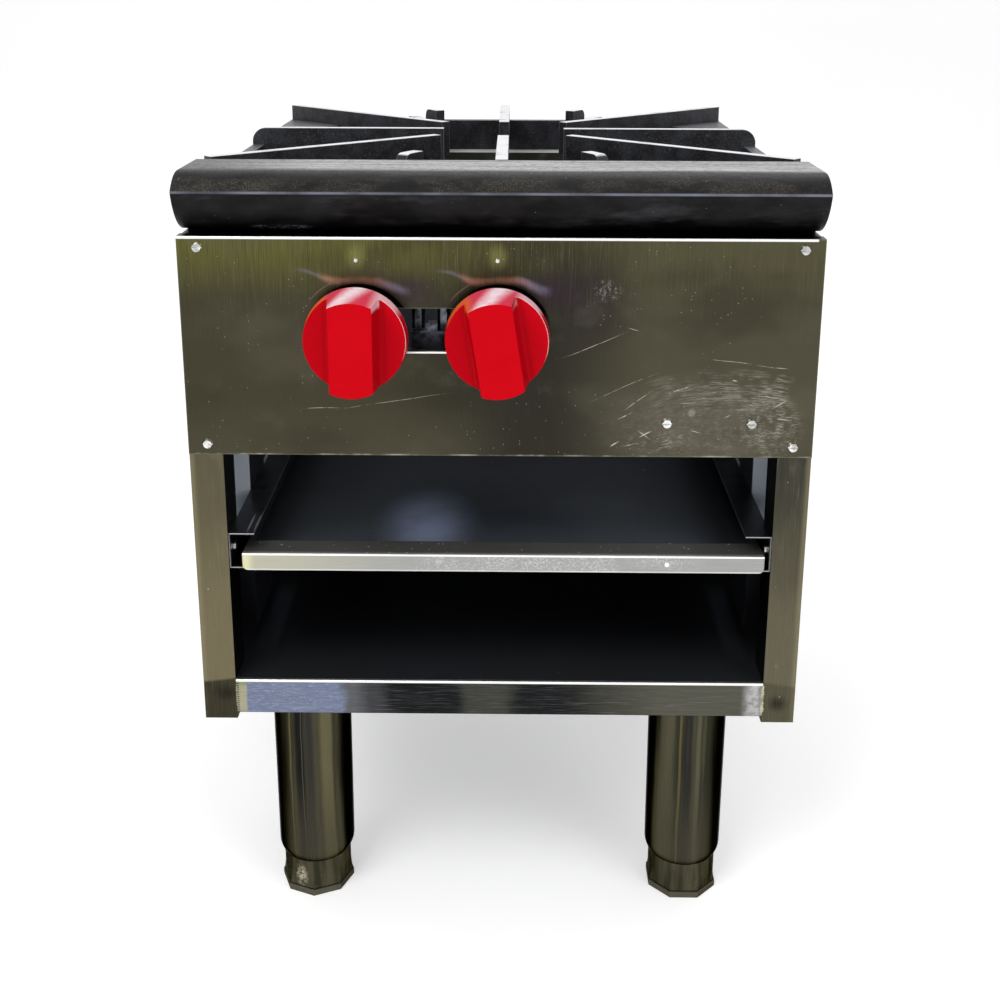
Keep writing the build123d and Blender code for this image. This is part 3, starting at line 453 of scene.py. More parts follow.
def panel_finish():
    """The control panel: upright brushing, painted olive and violet reflections, scratches, specks
    and a painted white highlight along the top.
    """
    finish = Finish("panel_steel", Metallic=1.0)
    edge_highlight = finish.soft_edges(0.0016)
    grain = brushed(finish, "Z")
    cloud = finish.noise(9.0, (1.0, 1.0, 1.6), detail=3.0)
    blotch = finish.noise(30.0, detail=4.0, rough=0.6, seed=4.0)
    x, z = finish.x, finish.z
    finish.colour = finish.mix((0.057, 0.052, 0.033), (0.032, 0.029, 0.023), x.fade(-0.1, 0.02))
    finish.paint((0.08, 0.073, 0.048), x.fade(0.03, 0.12))
    low = z.fade(panel_low.z + 0.05, panel_low.z) * x.fade(0.02, -0.06)
    finish.paint((0.07, 0.064, 0.042), low * 0.8)
    # painted reflections: a yellow-green one along the top, strongest at the left, and a violet one
    # in the middle
    top = z.fade(panel_high.z - 0.052, panel_high.z - 0.004)
    top_reflection = top * x.fade(0.04, -0.1, 0.25, 1.0) * grain.fade(0.25, 0.6, 0.5, 1.0)
    finish.paint((0.125, 0.12, 0.034), top_reflection)
    violet_reflection = finish.spot((0.062, panel_low.y, panel_high.z - 0.045), (0.045, 0.05, 0.05))
    finish.paint((0.034, 0.027, 0.028), violet_reflection * 0.8)
    finish.paint((0.105, 0.098, 0.07), cloud.fade(0.52, 0.72, 0.0, 0.45))
    finish.paint((0.032, 0.029, 0.02), cloud.fade(0.48, 0.3, 0.0, 0.45))
    finish.paint((0.1, 0.095, 0.07), blotch.fade(0.55, 0.75, 0.0, 0.3))
    # painted highlights: the brushing's light lines, stronger towards the top
    near_top = z.fade(panel_low.z + 0.08, panel_high.z, 0.05, 0.42)
    near_top = near_top * x.fade(0.05, 0.12, 1.0, 0.55)
    bright = grain.fade(0.5, 0.85) * near_top
    finish.paint((0.3, 0.28, 0.16), bright)
    finish.paint((0.018, 0.016, 0.012), grain.fade(0.48, 0.2) * near_top)
    finish.paint((0.0, 0.0, 0.0), panel_shade)
    # painted reflections of the red knobs on the steel over them, in one wavering line
    waver = finish.sway(45.0, 3.0, 0.006)
    streaky = grain.fade(0.3, 0.6, 0.55, 1.0)
    for centre in knob_centres:
        across = x - centre.x
        line = across.fade(-0.012, -0.042, 0.0389, 0.046) + across.fade(0.012, 0.038, 0.0, -0.007)
        height = z - centre.z
        gap = abs(height - line + waver)
        # a painted dark violet reflection up and to the right of each knob
        dark_violet_reflection = finish.spot((centre.x + 0.038, panel_low.y, centre.z + 0.033), (0.030, 0.02, 0.017))
        finish.paint((0.036, 0.024, 0.034), dark_violet_reflection * 0.65)
        for tint, reach, first, last, amount in (
                ((0.18, 0.17, 0.21), 0.0024, -0.034, -0.024, 0.5),
                ((0.38, 0.18, 0.115), 0.0046, -0.018, 0.018, 0.8),
                ((0.20, 0.17, 0.25), 0.0055, 0.021, 0.029, 0.65)):
            knob_reflection = gap.fade(reach, 0.0) * streaky * across.band(first, last, 0.012)
            finish.paint(tint, knob_reflection * amount)
        # painted shadow of the gap behind the knob, a dark crescent over its right shoulder
        distance, angle = finish.polar((centre.x + 0.0012, centre.z - 0.0012))
        shadow_crescent = (distance.fade(knob_radius + 0.0016, knob_radius + 0.0004)
                    * angle.band(-0.35, 1.0, 0.4))
        finish.paint((0.004, 0.003, 0.003), shadow_crescent)
        # a faint painted reflection of the knob's rim in a thin arc
        distance, angle = finish.polar((centre.x, centre.z))
        reflected_ring = distance.contour(knob_radius + 0.0042, 0.0008) * angle.band(-0.75, -0.3, 0.3)
        finish.paint((0.2, 0.13, 0.11), reflected_ring * 0.5)
        # a painted yellow reflection just over each index rivet
        rivet_glow = finish.spot((centre.x, panel_low.y, rivet_z + 0.003), (0.010, 0.02, 0.013))
        finish.paint((0.27, 0.27, 0.09), rivet_glow * 0.55 * streaky)
    # a worn patch around the bracket's screws, with flat curved rubs over and under it
    patch = finish.spot((0.150, panel_low.y, panel_low.z + 0.022), (0.090, 0.05, 0.050), 0.2)
    smear = finish.noise(45.0, (0.6, 1.0, 1.6), detail=4.0, rough=0.65, seed=2.0)
    finish.paint((0.108, 0.099, 0.076), patch * smear.fade(0.3, 0.7, 0.2, 0.85))
    dull = finish.spot((0.1393, panel_low.y, 0.4474), (0.0036, 0.01, 0.0040), 0.4)
    finish.paint((0.24, 0.23, 0.19), dull * 0.7)
    distance, angle = finish.polar((0.168, panel_low.z - 0.163))
    rings = finish.add("ShaderNodeCombineXYZ")
    finish.feed(rings.inputs[0], distance * 900.0)
    finish.feed(rings.inputs[1], angle * 9.0)
    rings = finish.noise(1.0, detail=2.0, bend=0.15, place=finish.out(rings))
    over = (distance.band(0.2, 0.2275, 0.004) * x.band(0.115, 0.204, 0.014)
            * x.fade(0.11, 0.185, 0.35, 1.0))
    broken = finish.noise(60.0, detail=3.0, seed=1.0).fade(0.36, 0.58)
    rubs = rings.contour(0.5, 0.06) * broken * over
    level = (finish.hairs(80.0, (1.0, 13.0, 13.0), 0.05, turn=-2.0, bend=0.6)
             | finish.hairs(95.0, (1.0, 11.0, 11.0), 0.05, turn=7.0, seed=4.0))
    falling = finish.hairs(70.0, (1.0, 12.0, 12.0), 0.05, turn=17.0, seed=1.0)
    low_right = finish.spot((0.196, panel_low.y, 0.437), (0.030, 0.02, 0.030), 0.4)
    low_left = finish.spot((0.117, panel_low.y, 0.426), (0.030, 0.02, 0.012), 0.3)
    rubs = rubs | level * low_right | falling * low_left | level * patch * 0.3
    marks = finish.any(finish.scratch(start, end, width) for start, end, width in panel_scratches)
    marks = marks * finish.noise(190.0, detail=3.0).fade(0.32, 0.55)
    dense = finish.noise(14.0, detail=2.0, seed=6.0).fade(0.5, 0.62)
    hem_line = (z.fade(panel_low.z + 0.0016, panel_low.z + 0.0004)
                * finish.noise(60.0, (1.0, 0.1, 0.1), 3.0).fade(0.42, 0.62))
    fine = finish.hairs(160.0, (1.0, 5.0, 5.0), 0.05, turn=40.0, seed=7.0, bend=1.5)
    scribble = finish.spot((0.076, panel_low.y, 0.538), (0.013, 0.02, 0.010), 0.3)
    spill = finish.any(
        finish.spot((across, panel_low.y, height), (0.02, 0.02, 0.013), 0.2) * amount
        for across, height, amount in (
            (-0.088, 0.553, 1.0), (-0.05, 0.54, 0.8), (-0.036, 0.474, 0.6), (0.02, 0.56, 0.5)))
    marks = (marks | rubs * 0.42 | finish.specks(420.0, 0.32, 0.1) * dense * 0.8
             | finish.specks(520.0, 0.34, 0.5, 9.0) * spill | fine * scribble * 0.7
             | finish.specks(150.0, 0.11, 0.05, 3.0) | hem_line * 0.7)
    finish.paint((0.62, 0.6, 0.52), marks * 0.68)
    # painted highlight: a white line along the lower edge of the slot
    slot_sill_highlight = (z.band(slot_z - 0.0011, slot_z, 0.0003)
            * x.band(knob_centres[0].x, knob_centres[1].x, 0.001))
    finish.paint(highlight_white, slot_sill_highlight)
    # painted highlights on the edges: white along the top, yellowish down the sides
    finish.paint((0.36, 0.33, 0.19), edge_highlight * 0.5)
    # painted shade on the panel's top, under the front ledge
    ledge_shadow = finish.up() * finish.y.fade(panel_low.y + 0.0012, panel_low.y + 0.0022)
    finish.paint((0.008, 0.008, 0.007), ledge_shadow)
    # painted highlight: a white line along the front of the top
    line = z.fade(panel_high.z - 0.0021, panel_high.z - 0.0014)
    line = (line * x.fade(0.2235, 0.2225)
            * finish.y.fade(panel_low.y + 0.0022, panel_low.y + 0.0012))
    finish.paint(highlight_white, line)
    roughness = grain.fade(0.2, 0.8, 0.26, 0.4)
    finish.bump(grain, grain_relief)
    return finish.done(roughness)


def post_finish():
    """The corner posts: olive grey, paler downwards, darker over the lower front, with painted
    shade on their inner sides and painted highlights along their edges.
    """
    finish = Finish("post_steel", Metallic=1.0)
    edge_highlight = finish.soft_edges(0.0008)
    grain = brushed(finish, "Z")
    x, z = finish.x, finish.z
    drift = finish.sway(10.0, 2.0, 0.12)
    height = z + drift
    left = finish.mix((0.146, 0.126, 0.073), (0.088, 0.078, 0.048), height.fade(0.27, 0.42))
    right = finish.mix((0.112, 0.101, 0.065), (0.04, 0.039, 0.03), height.fade(0.25, 0.43))
    finish.colour = finish.mix(left, right, x.fade(-0.05, 0.05))
    outer = abs(x).fade(0.2235, 0.2275)
    finish.paint((0.22, 0.2, 0.12), outer * 0.5)
    patchy = finish.noise(40.0, (1.0, 1.0, 0.5), detail=4.0, seed=2.0)
    finish.paint((0.24, 0.22, 0.15), patchy.fade(0.55, 0.75, 0.0, 0.2))
    # darker over the lower front, below a slanting line
    slope = z + abs(x) * 0.12 + drift * 0.05
    dark_lower_front = slope.fade(shelf_high.z + 0.0265, shelf_high.z + 0.0235)
    dark_lower_front = dark_lower_front * x.fade(0.0, 0.1, 0.92, 0.4) * finish.front() * finish.y.fade(0.0, -0.1)
    finish.paint((0.028, 0.026, 0.016), dark_lower_front)
    burn = (finish.spot((-0.212, post_low.y, 0.216), (0.014, 0.01, 0.01))
            | finish.spot((0.215, post_low.y, 0.2105), (0.011, 0.01, 0.01)))
    finish.paint((0.012, 0.011, 0.008), burn * 0.8)
    finish.colour = finish.brushing(finish.colour, grain, (0.32, 0.3, 0.22), (0.03, 0.028, 0.02),
                                    0.28)
    marks = finish.specks(240.0, 0.22, 0.03, 5.0) | finish.specks(110.0, 0.1, 0.06)
    finish.paint((0.6, 0.58, 0.5), marks * 0.7)
    # painted highlights along the edges
    finish.paint((0.42, 0.4, 0.32), edge_highlight * 0.55)
    # painted shade on the inner sides
    inside = abs(x).fade(inner_post_x + 0.0004, inner_post_x + 0.0001)
    finish.paint((0.02, 0.02, 0.018), inside)
    finish.bump(grain, grain_relief)
    return finish.done(grain.fade(0.2, 0.8, 0.26, 0.4))


def rail_finish():
    """The top rails under the grate: a painted highlight where they face up, some wear, dark below,
    and painted shade under the front ledge.
    """
    finish = Finish("rail_steel", Metallic=1.0)
    grain = brushed(finish, "X")
    worn = finish.noise(30.0, detail=4.0)
    # painted highlight where the rails face up
    finish.colour = finish.mix((0.1, 0.095, 0.075), (0.85, 0.85, 0.83), finish.up())
    finish.paint((0.35, 0.33, 0.28), worn.fade(0.5, 0.7, 0.0, 0.4))
    # painted shade under the front ledge
    ledge_shadow = finish.y.fade(ledge_high.y + 0.002, ledge_high.y - 0.002)
    finish.paint((0.01, 0.01, 0.009), ledge_shadow)
    finish.bump(grain, grain_relief)
    return finish.done(grain.fade(0.2, 0.8, 0.3, 0.45), finish.up(0.9, 0.5) | ledge_shadow)


def shelf_finish():
    """The bottom shelf: a dark floor, lighter towards the open front as painted light, and a front
    flange in painted reflections between two welds, with a painted white highlight along its top.
    """
    finish = Finish("shelf_steel", Metallic=1.0)
    finish.soft_edges(0.0014)
    grain = brushed(finish, "X")
    x, y, z = finish.x, finish.y, finish.z
    front = finish.front()
    drift = finish.sway(22.0, 4.0, 0.035)
    shifted = x + drift
    # painted reflections along the flange: pale bluish at the left end, near black further in,
    # olive to the right
    flange = finish.mix((0.16, 0.188, 0.275), (0.095, 0.098, 0.104), shifted.fade(-0.122, -0.112))
    flange = finish.mix(flange, (0.044, 0.045, 0.047), shifted.fade(-0.11, -0.096))
    flange = finish.mix(flange, (0.011, 0.012, 0.012), shifted.fade(-0.092, -0.076))
    cloud = shifted.band(-0.022, 0.004, 0.016)
    flange = finish.mix(flange, (0.058, 0.058, 0.048), cloud * 0.75)
    flange = finish.mix(flange, (0.082, 0.08, 0.062), shifted.fade(0.035, 0.13))
    yellow = finish.noise(50.0, (0.5, 1.0, 1.4), detail=5.0, rough=0.65, seed=3.0)
    bluish = shifted.fade(-0.105, -0.125)
    flange = finish.mix(flange, (0.24, 0.24, 0.24), yellow.fade(0.52, 0.7, 0.0, 0.4) * bluish)
    glint = finish.noise(760.0, (0.25, 1.0, 1.5), detail=4.0, rough=0.8, seed=1.0)
    flange = finish.mix(flange, (0.42, 0.48, 0.6), glint.fade(0.52, 0.66, 0.0, 0.4) * bluish)
    flange = finish.mix(flange, (0.05, 0.06, 0.09), glint.fade(0.48, 0.34, 0.0, 0.4) * bluish)
    heat = (x + drift * 0.12).fade(-0.1945, -0.1965)
    tinged = finish.mix((0.36, 0.34, 0.22), (0.22, 0.24, 0.1), yellow.fade(0.45, 0.62))
    flange = finish.mix(flange, tinged, heat * 0.9)
    stitches = x.fade(-0.2012, -0.2018) * finish.math("SINE", z * 3400.0).fade(-0.2, 0.3)
    flange = finish.mix(flange, (0.02, 0.02, 0.025), stitches * 0.9)
    frost = finish.noise(160.0, detail=5.0, rough=0.7, seed=5.0)
    right_end = x.fade(0.186, 0.196) * x.fade(0.2036, 0.199, 0.4, 1.0)
    flange = finish.mix(flange, (0.44, 0.435, 0.44), right_end * frost.fade(0.35, 0.6, 0.45, 1.0))
    soot = (finish.specks(500.0, 0.4, 0.35, 2.0) * x.fade(0.195, 0.199)
            * z.fade(shelf_high.z - 0.012, shelf_high.z - 0.004))
    flange = finish.mix(flange, (0.03, 0.03, 0.03), soot)
    flange = finish.brushing(flange, grain, (0.45, 0.45, 0.5), (0.012, 0.012, 0.012), 0.3)
    base = finish.mix(shelf_dark, shelf_pale, finish.noise(8.0, detail=2.0))
    # painted light on the floor towards the open front
    base = finish.mix(base, tuple(2.2 * part for part in shelf_pale),
                      y.fade(shelf_low.y + 0.1, shelf_low.y, 0.0, 0.4))
    # painted reflections on the floor near the sides
    painted_sheen = abs(x).band(0.186, 0.194, 0.008) * y.band(-0.175, -0.1, 0.04)
    base = finish.mix(base, (0.21, 0.22, 0.26), painted_sheen * 0.85)
    specks = finish.specks(110.0, 0.09, 0.09, 7.0) | finish.specks(60.0, 0.07, 0.05, 2.0)
    base = finish.mix(base, (0.9, 0.9, 0.9), specks * 0.9)
    finish.colour = finish.mix(base, flange, front)
    # painted highlight: a white line along the flange's top front edge
    rim = (y.fade(shelf_low.y + 0.003, shelf_low.y + 0.0022)
           * z.fade(shelf_high.z - 0.0022, shelf_high.z - 0.0014))
    finish.paint(highlight_white, rim)
    finish.bump(grain, grain_relief)
    return finish.done(grain.fade(0.2, 0.8, 0.28, 0.42), front | rim | dull_shelf)


def tray_finish():
    """The crumb tray: a pale front lip, a brown strip behind it and a near-black floor, with
    painted highlights along the lip's edges, a painted reflection on the floor and painted shadow
    beside the guides.
    """
    finish = Finish("tray_steel", Metallic=1.0)
    finish.soft_edges(0.0014)
    grain = brushed(finish, "X")
    x, y, z = finish.x, finish.y, finish.z
    strip_end = tray_low.y + 0.0246
    lip = finish.mix((0.44, 0.43, 0.335), (0.33, 0.33, 0.326), x.fade(-0.19, -0.05))
    lip = finish.mix(lip, (0.68, 0.66, 0.42),
                     x.fade(tray_low.x + 0.01, tray_low.x + 0.002, 0.0, 0.85))
    middle = x.band(-0.045, 0.115, 0.05)
    powder = (finish.noise(850.0, detail=4.0, rough=0.8).fade(0.5, 0.6)
              * finish.noise(30.0, detail=3.0).fade(0.35, 0.6) * middle)
    lip = finish.mix(lip, (0.75, 0.75, 0.75), powder * 0.55)
    lip = finish.brushing(lip, grain, (0.7, 0.7, 0.68), (0.25, 0.24, 0.2), 0.28)
    dot = finish.spot((0.1257, tray_low.y, tray_low.z + 0.0066), (0.0022, 0.002, 0.0022), 0.6)
    lip = finish.mix(lip, (0.92, 0.92, 0.92), dot)
    # painted highlight: a pale line along the lip's foot
    lip_bottom_highlight = z.fade(tray_low.z + 0.0014, tray_low.z + 0.0004)
    lip = finish.mix(lip, (0.85, 0.85, 0.83), lip_bottom_highlight * 0.8)
    strip = finish.mix(strip_dark, strip_pale, finish.noise(10.0, detail=2.0))
    strip = finish.brushing(strip, grain, (0.16, 0.155, 0.13), (0.02, 0.02, 0.018), 0.4)
    strip = finish.mix(strip, (0.5, 0.5, 0.47),
                       y.fade(tray_low.y + 0.006, tray_low.y + 0.001, 0.0, 0.5))
    grit = finish.specks(300.0, 0.36, 0.12, 1.0) | finish.specks(120.0, 0.24, 0.1)
    strip = finish.mix(strip, (0.75, 0.75, 0.7), grit * 0.85)
    base = finish.mix(tray_dark, tray_pale, finish.noise(7.0, detail=2.0))
    # painted shadow on the floor beside the guides
    shade = abs(x).fade(0.15, 0.18, 0.0, 0.75)
    base = finish.mix(base, (0.012, 0.013, 0.015), shade)
    # a painted reflection on the floor
    floor_reflection = finish.spot((-0.059, -0.158, tray_floor_z), (0.048, 0.085, 0.02))
    cloudy = finish.noise(28.0, detail=3.0, seed=5.0).fade(0.3, 0.6, 0.7, 1.0)
    base = finish.mix(base, tray_reflection_tone, floor_reflection * cloudy * 0.95)
    specks = finish.specks(100.0, 0.09, 0.07, 3.0) | finish.specks(55.0, 0.07, 0.06, 8.0)
    base = finish.mix(base, (0.9, 0.9, 0.9), specks * 0.9)
    finish.colour = finish.mix(strip, base, y.fade(strip_end - 0.0003, strip_end))
    finish.paint(lip, finish.front())
    # painted highlight: a white line along the lip's top front edge
    rim = (y.fade(tray_low.y + 0.0018, tray_low.y + 0.001)
           * z.fade(tray_high.z - 0.0016, tray_high.z - 0.001))
    finish.paint(highlight_white, rim)
    finish.bump(grain, grain_relief)
    finish.bump(powder, grain_relief)
    return finish.done(grain.fade(0.2, 0.8, 0.3, 0.45), finish.front() | rim | dull_tray)


def skin_finish():
    """The side and back panels and the braces: brushed outside, dark inside, with painted light
    from overhead in pale bluish patches and painted shade low on the brace fronts.
    """
    finish = Finish("skin_steel", Metallic=1.0)
    grain = brushed(finish, "Z")
    x, y, z = abs(finish.x), finish.y, finish.z
    outside = x.fade(0.2263, 0.2267) | y.fade(0.2652, 0.2656)
    inner = finish.mix(inside_dark, inside_pale, finish.noise(6.0, detail=2.0))
    # painted light from overhead on the inner sides and the brace flanges, pale bluish, mottled by
    # stains
    stain = finish.noise(28.0, (1.0, 1.0, 0.5), detail=4.0, rough=0.6, seed=2.0)
    blue = finish.mix((0.84, 0.9, 1.0), (0.5, 0.54, 0.66), stain.fade(0.5, 0.68))
    flange = finish.front() * x.fade(inner_post_x + 0.0001, 0.2039) * y.fade(0.0, -0.1)
    glint = x.fade(0.2045, 0.204) * y.band(-0.093, -0.06, 0.003) * z.band(0.341, 0.352, 0.003)
    flange = flange | glint
    side = x.fade(0.2249, 0.2252) * y.band(-0.21, 0.12, 0.02)
    bluish = (flange | side) * z.fade(0.305, 0.318)
    inner = finish.mix(inner, blue, bluish)
    # painted shade low on the fronts of the braces
    shaded = finish.front() * z.fade(0.314, 0.306)
    inner = finish.mix(inner, (0.012, 0.013, 0.016), shaded * 0.85)
    outer = finish.mix((0.11, 0.105, 0.080), (0.19, 0.182, 0.150), finish.noise(5.0, detail=2.0))
    outer = finish.brushing(outer, grain, (0.32, 0.31, 0.26), (0.045, 0.043, 0.034), 0.4)
    marks = finish.specks(160.0, 0.12, 0.03, 2.0) | finish.specks(70.0, 0.06, 0.04)
    outer = finish.mix(outer, (0.6, 0.58, 0.52), marks * 0.6)
    finish.colour = finish.mix(inner, outer, outside)
    finish.bump(grain, grain_relief)
    scatter = dull_skin + bluish * -dull_skin
    return finish.done(grain.fade(0.2, 0.8, 0.28, 0.42), outside | scatter)


def guide_finish():
    """The tray's guides: dark sheet with bright sheared ends, a few rubs on top and painted
    highlights along the edges.
    """
    finish = Finish("guide_steel", Metallic=1.0)
    edge_highlight = finish.soft_edges(0.0004)
    tone = finish.noise(60.0, detail=3.0)
    finish.colour = finish.mix(guide_dark, guide_pale, tone)
    rub = finish.any(
        finish.spot((guide_low.x + across, guide_low.y + 0.02, guide_high.z),
                    (0.0012, 0.022, 0.004), 0.4)
        for across in (0.0135, 0.0185))
    finish.paint((0.45, 0.45, 0.45), rub * 0.9)
    end = finish.y.fade(guide_low.y + 0.0008, guide_low.y + 0.0003)
    outline = (finish.z.fade(guide_high.z - 0.0008, guide_high.z - 0.0004)
               | finish.z.fade(guide_low.z + 0.0008, guide_low.z + 0.0004)
               | abs(finish.x).fade(-guide_low.x - 0.0008, -guide_low.x - 0.0004))
    lip = finish.up() * abs(finish.x).fade(-guide_high.x + 0.0007, -guide_high.x + 0.0002)
    # painted highlights along the edges and on the inner lip's top, with the bright sheared ends
    finish.paint((0.42, 0.42, 0.4), edge_highlight * 0.2 | end * outline | lip * 0.6)
    finish.bump(tone, 0.00004)
    return finish.done(tone.fade(0.3, 0.7, 0.3, 0.42))


# painted reflections down a leg: place across it from -1 to 1, half its width, colour and strength
leg_reflections = {
    "left": ((-0.95, 0.26, (0.004, 0.004, 0.003), 0.97), (-0.62, 0.20, (0.016, 0.015, 0.011), 0.85),
             (-0.43, 0.022, (0.13, 0.11, 0.045), 0.7), (-0.17, 0.16, (0.008, 0.008, 0.008), 0.9),
             (-0.12, 0.012, (0.16, 0.16, 0.16), 0.4), (0.08, 0.12, (0.022, 0.022, 0.024), 0.7),
             (0.50, 0.18, (0.125, 0.114, 0.060), 0.85), (0.66, 0.03, (0.03, 0.028, 0.016), 0.6),
             (0.95, 0.17, (0.006, 0.006, 0.005), 0.95)),
    "right": ((-0.96, 0.12, (0.006, 0.006, 0.005), 0.95), (-0.60, 0.20, (0.085, 0.078, 0.050), 0.7),
              (-0.27, 0.035, (0.125, 0.105, 0.045), 0.7), (-0.08, 0.14, (0.016, 0.016, 0.018), 0.8),
              (0.20, 0.07, (0.100, 0.092, 0.062), 0.7), (0.48, 0.12, (0.020, 0.020, 0.015), 0.8),
              (0.72, 0.18, (0.008, 0.008, 0.006), 0.95), (0.97, 0.12, (0.008, 0.008, 0.006), 0.95)),
}


def leg_finish(side):
    """The polished legs: long upright painted reflections of olive, gold and near black."""
    finish = Finish(f"{side}_leg_steel", Metallic=1.0, Specular_Tint=dark_rim)
    finish.soft_edges(0.0005)
    fine = finish.noise(1.0, (900.0, 900.0, 9.0), detail=3.0)
    slow = finish.noise(1.0, (90.0, 90.0, 5.0), detail=3.0, rough=0.6)
    centre = leg_x if side == "right" else -leg_x
    across = (finish.x - centre) * (1.0 / leg_radius)
    across = across + finish.sway(9.0, 2.0, 0.22)
    finish.colour = finish.mix((0.028, 0.027, 0.018), (0.06, 0.056, 0.034), slow.fade(0.35, 0.6))
    for place, width, tint, amount in leg_reflections[side]:
        streak = across.band(place - width * 0.4, place + width * 0.4, width * 0.8)
        finish.paint(tint, streak * amount)
    low = finish.z.fade(0.13, 0.045) * abs(across).fade(0.85, 0.5)
    finish.paint((0.06, 0.056, 0.038), low * 0.6)
    finish.colour = finish.brushing(finish.colour, fine, (0.12, 0.11, 0.075),
                                    (0.012, 0.012, 0.009), 0.16)
    lip = finish.z.fade(leg_low.z + 0.0012, leg_low.z + 0.0004)
    finish.paint((0.006, 0.006, 0.005), lip)
    dots = finish.specks(130.0, 0.12, 0.05, 2.0)
    finish.paint((0.008, 0.008, 0.007), dots)
    finish.bump(fine, grain_relief)
    return finish.done(fine.fade(0.2, 0.8, 0.2, 0.32))


def foot_finish():
    """The screw feet: dull olive metal with a paler flange and one worn corner."""
    finish = Finish("foot_metal", Metallic=1.0, Specular_Tint=dark_rim)
    edge_highlight = finish.soft_edges(0.0006)
    streak = finish.noise(1.0, (120.0, 120.0, 12.0), detail=3.0)
    finish.colour = finish.mix((0.032, 0.031, 0.02), (0.078, 0.072, 0.045),
                               streak.fade(0.35, 0.65))
    grit = finish.noise(420.0, detail=4.0, rough=0.7)
    finish.paint((0.26, 0.24, 0.17), grit.fade(0.6, 0.75, 0.0, 0.5))
    worn = (finish.spot((-leg_x - 0.011, leg_y - 0.028, 0.017), (0.008, 0.012, 0.015))
            * finish.noise(300.0, detail=4.0, rough=0.8).fade(0.44, 0.58))
    finish.paint((0.62, 0.58, 0.44), worn * 0.9)
    flange = finish.z.fade(0.0052, 0.0048)
    finish.paint((0.115, 0.108, 0.082), flange * 0.7)
    crease = finish.z.band(0.005, 0.0062, 0.0005)
    finish.paint((0.008, 0.008, 0.006), crease * 0.9)
    # painted highlights along the lower edges
    finish.paint((0.3, 0.28, 0.22), edge_highlight * finish.z.fade(0.0065, 0.0045) * 0.7)
    finish.bump(grit, 0.00006)
    return finish.done(grit.fade(0.3, 0.7, 0.3, 0.5))


def ledge_finish():
    """The front casting: a rough black skin, its top worn grey and lighter as a painted highlight,
    with painted highlights over and along its crease.
    """
    finish = Finish("ledge_iron", Specular_IOR_Level=0.11)
    finish.soft_edges(0.003)
    sand = finish.noise(520.0, detail=5.0, rough=0.7)
    lumps = finish.noise(70.0, (0.6, 1.0, 1.0), detail=3.0)
    x, y, z = finish.x, finish.y, finish.z
    finish.colour = finish.mix((0.002, 0.002, 0.0024), (0.011, 0.0106, 0.012),
                               lumps.fade(0.3, 0.7))
    # painted highlights on the grain between the crease and the top
    brown = (z.band(crease_z + 0.0015, crease_z + 0.0075, 0.003)
             * finish.noise(8.0, detail=3.0).fade(0.3, 0.6, 0.35, 1.0))
    speckle = finish.noise(1300.0, detail=3.0, rough=0.8).fade(0.46, 0.66)
    drift = finish.noise(55.0, (0.5, 1.0, 1.0), detail=4.0, rough=0.7).fade(0.4, 0.62)
    finish.paint((0.016, 0.015, 0.013), brown * 0.5)
    finish.paint((0.16, 0.14, 0.115), brown * speckle * drift * 0.8)
    # a painted highlight along the crease
    painted_sheen = z.band(crease_z - 0.0004, crease_z + 0.0002, 0.001)
    patchy = finish.noise(26.0, (1.0, 0.1, 0.1), detail=4.0, seed=3.0)
    finish.paint((0.21, 0.22, 0.28), painted_sheen * patchy.fade(0.3, 0.65, 0.25, 1.0) * 0.85)
    smears = finish.noise(40.0, (0.35, 1.0, 1.0), detail=5.0, rough=0.7, seed=9.0)
    below = z.fade(crease_z, crease_z - 0.004)
    finish.paint((0.04, 0.04, 0.044), smears.fade(0.52, 0.7) * below * 0.7)
    # the top: worn, and lighter as a painted highlight, with long streaks
    wear = finish.noise(15.0, (0.4, 1.0, 1.0), detail=4.0, rough=0.6)
    streaks = finish.noise(90.0, (0.12, 3.0, 3.0), detail=5.0, rough=0.75)
    start = y + (wear - 0.5) * 0.02
    top = (start.fade(ledge_low.y + 0.022, ledge_low.y + 0.036)
           * z.fade(ledge_high.z - 0.0025, ledge_high.z - 0.0008))
    pits = finish.noise(380.0, (0.5, 1.0, 1.0), 4.0, 0.8, seed=2.0).fade(0.34, 0.5, 0.2)
    worn = top * streaks.fade(0.35, 0.62, 0.42, 1.0) * pits * x.fade(-0.222, -0.12, 0.4, 1.0)
    finish.paint((0.52, 0.52, 0.53), worn * 0.95)
    marks = (finish.noise(330.0, detail=4.0, rough=0.8, seed=6.0).fade(0.52, 0.57)
             * z.band(ledge_low.z + 0.004, ledge_low.z + 0.0065, 0.0015)
             * x.band(-0.168, -0.14, 0.012))
    dust = finish.specks(330.0, 0.22, 0.05, 4.0)
    finish.paint((0.55, 0.56, 0.6), marks | dust * 0.5)
    finish.bump(lumps, 0.0004)
    finish.bump(sand, 0.00022)
    return finish.done(sand.fade(0.3, 0.7, 0.36, 0.52))


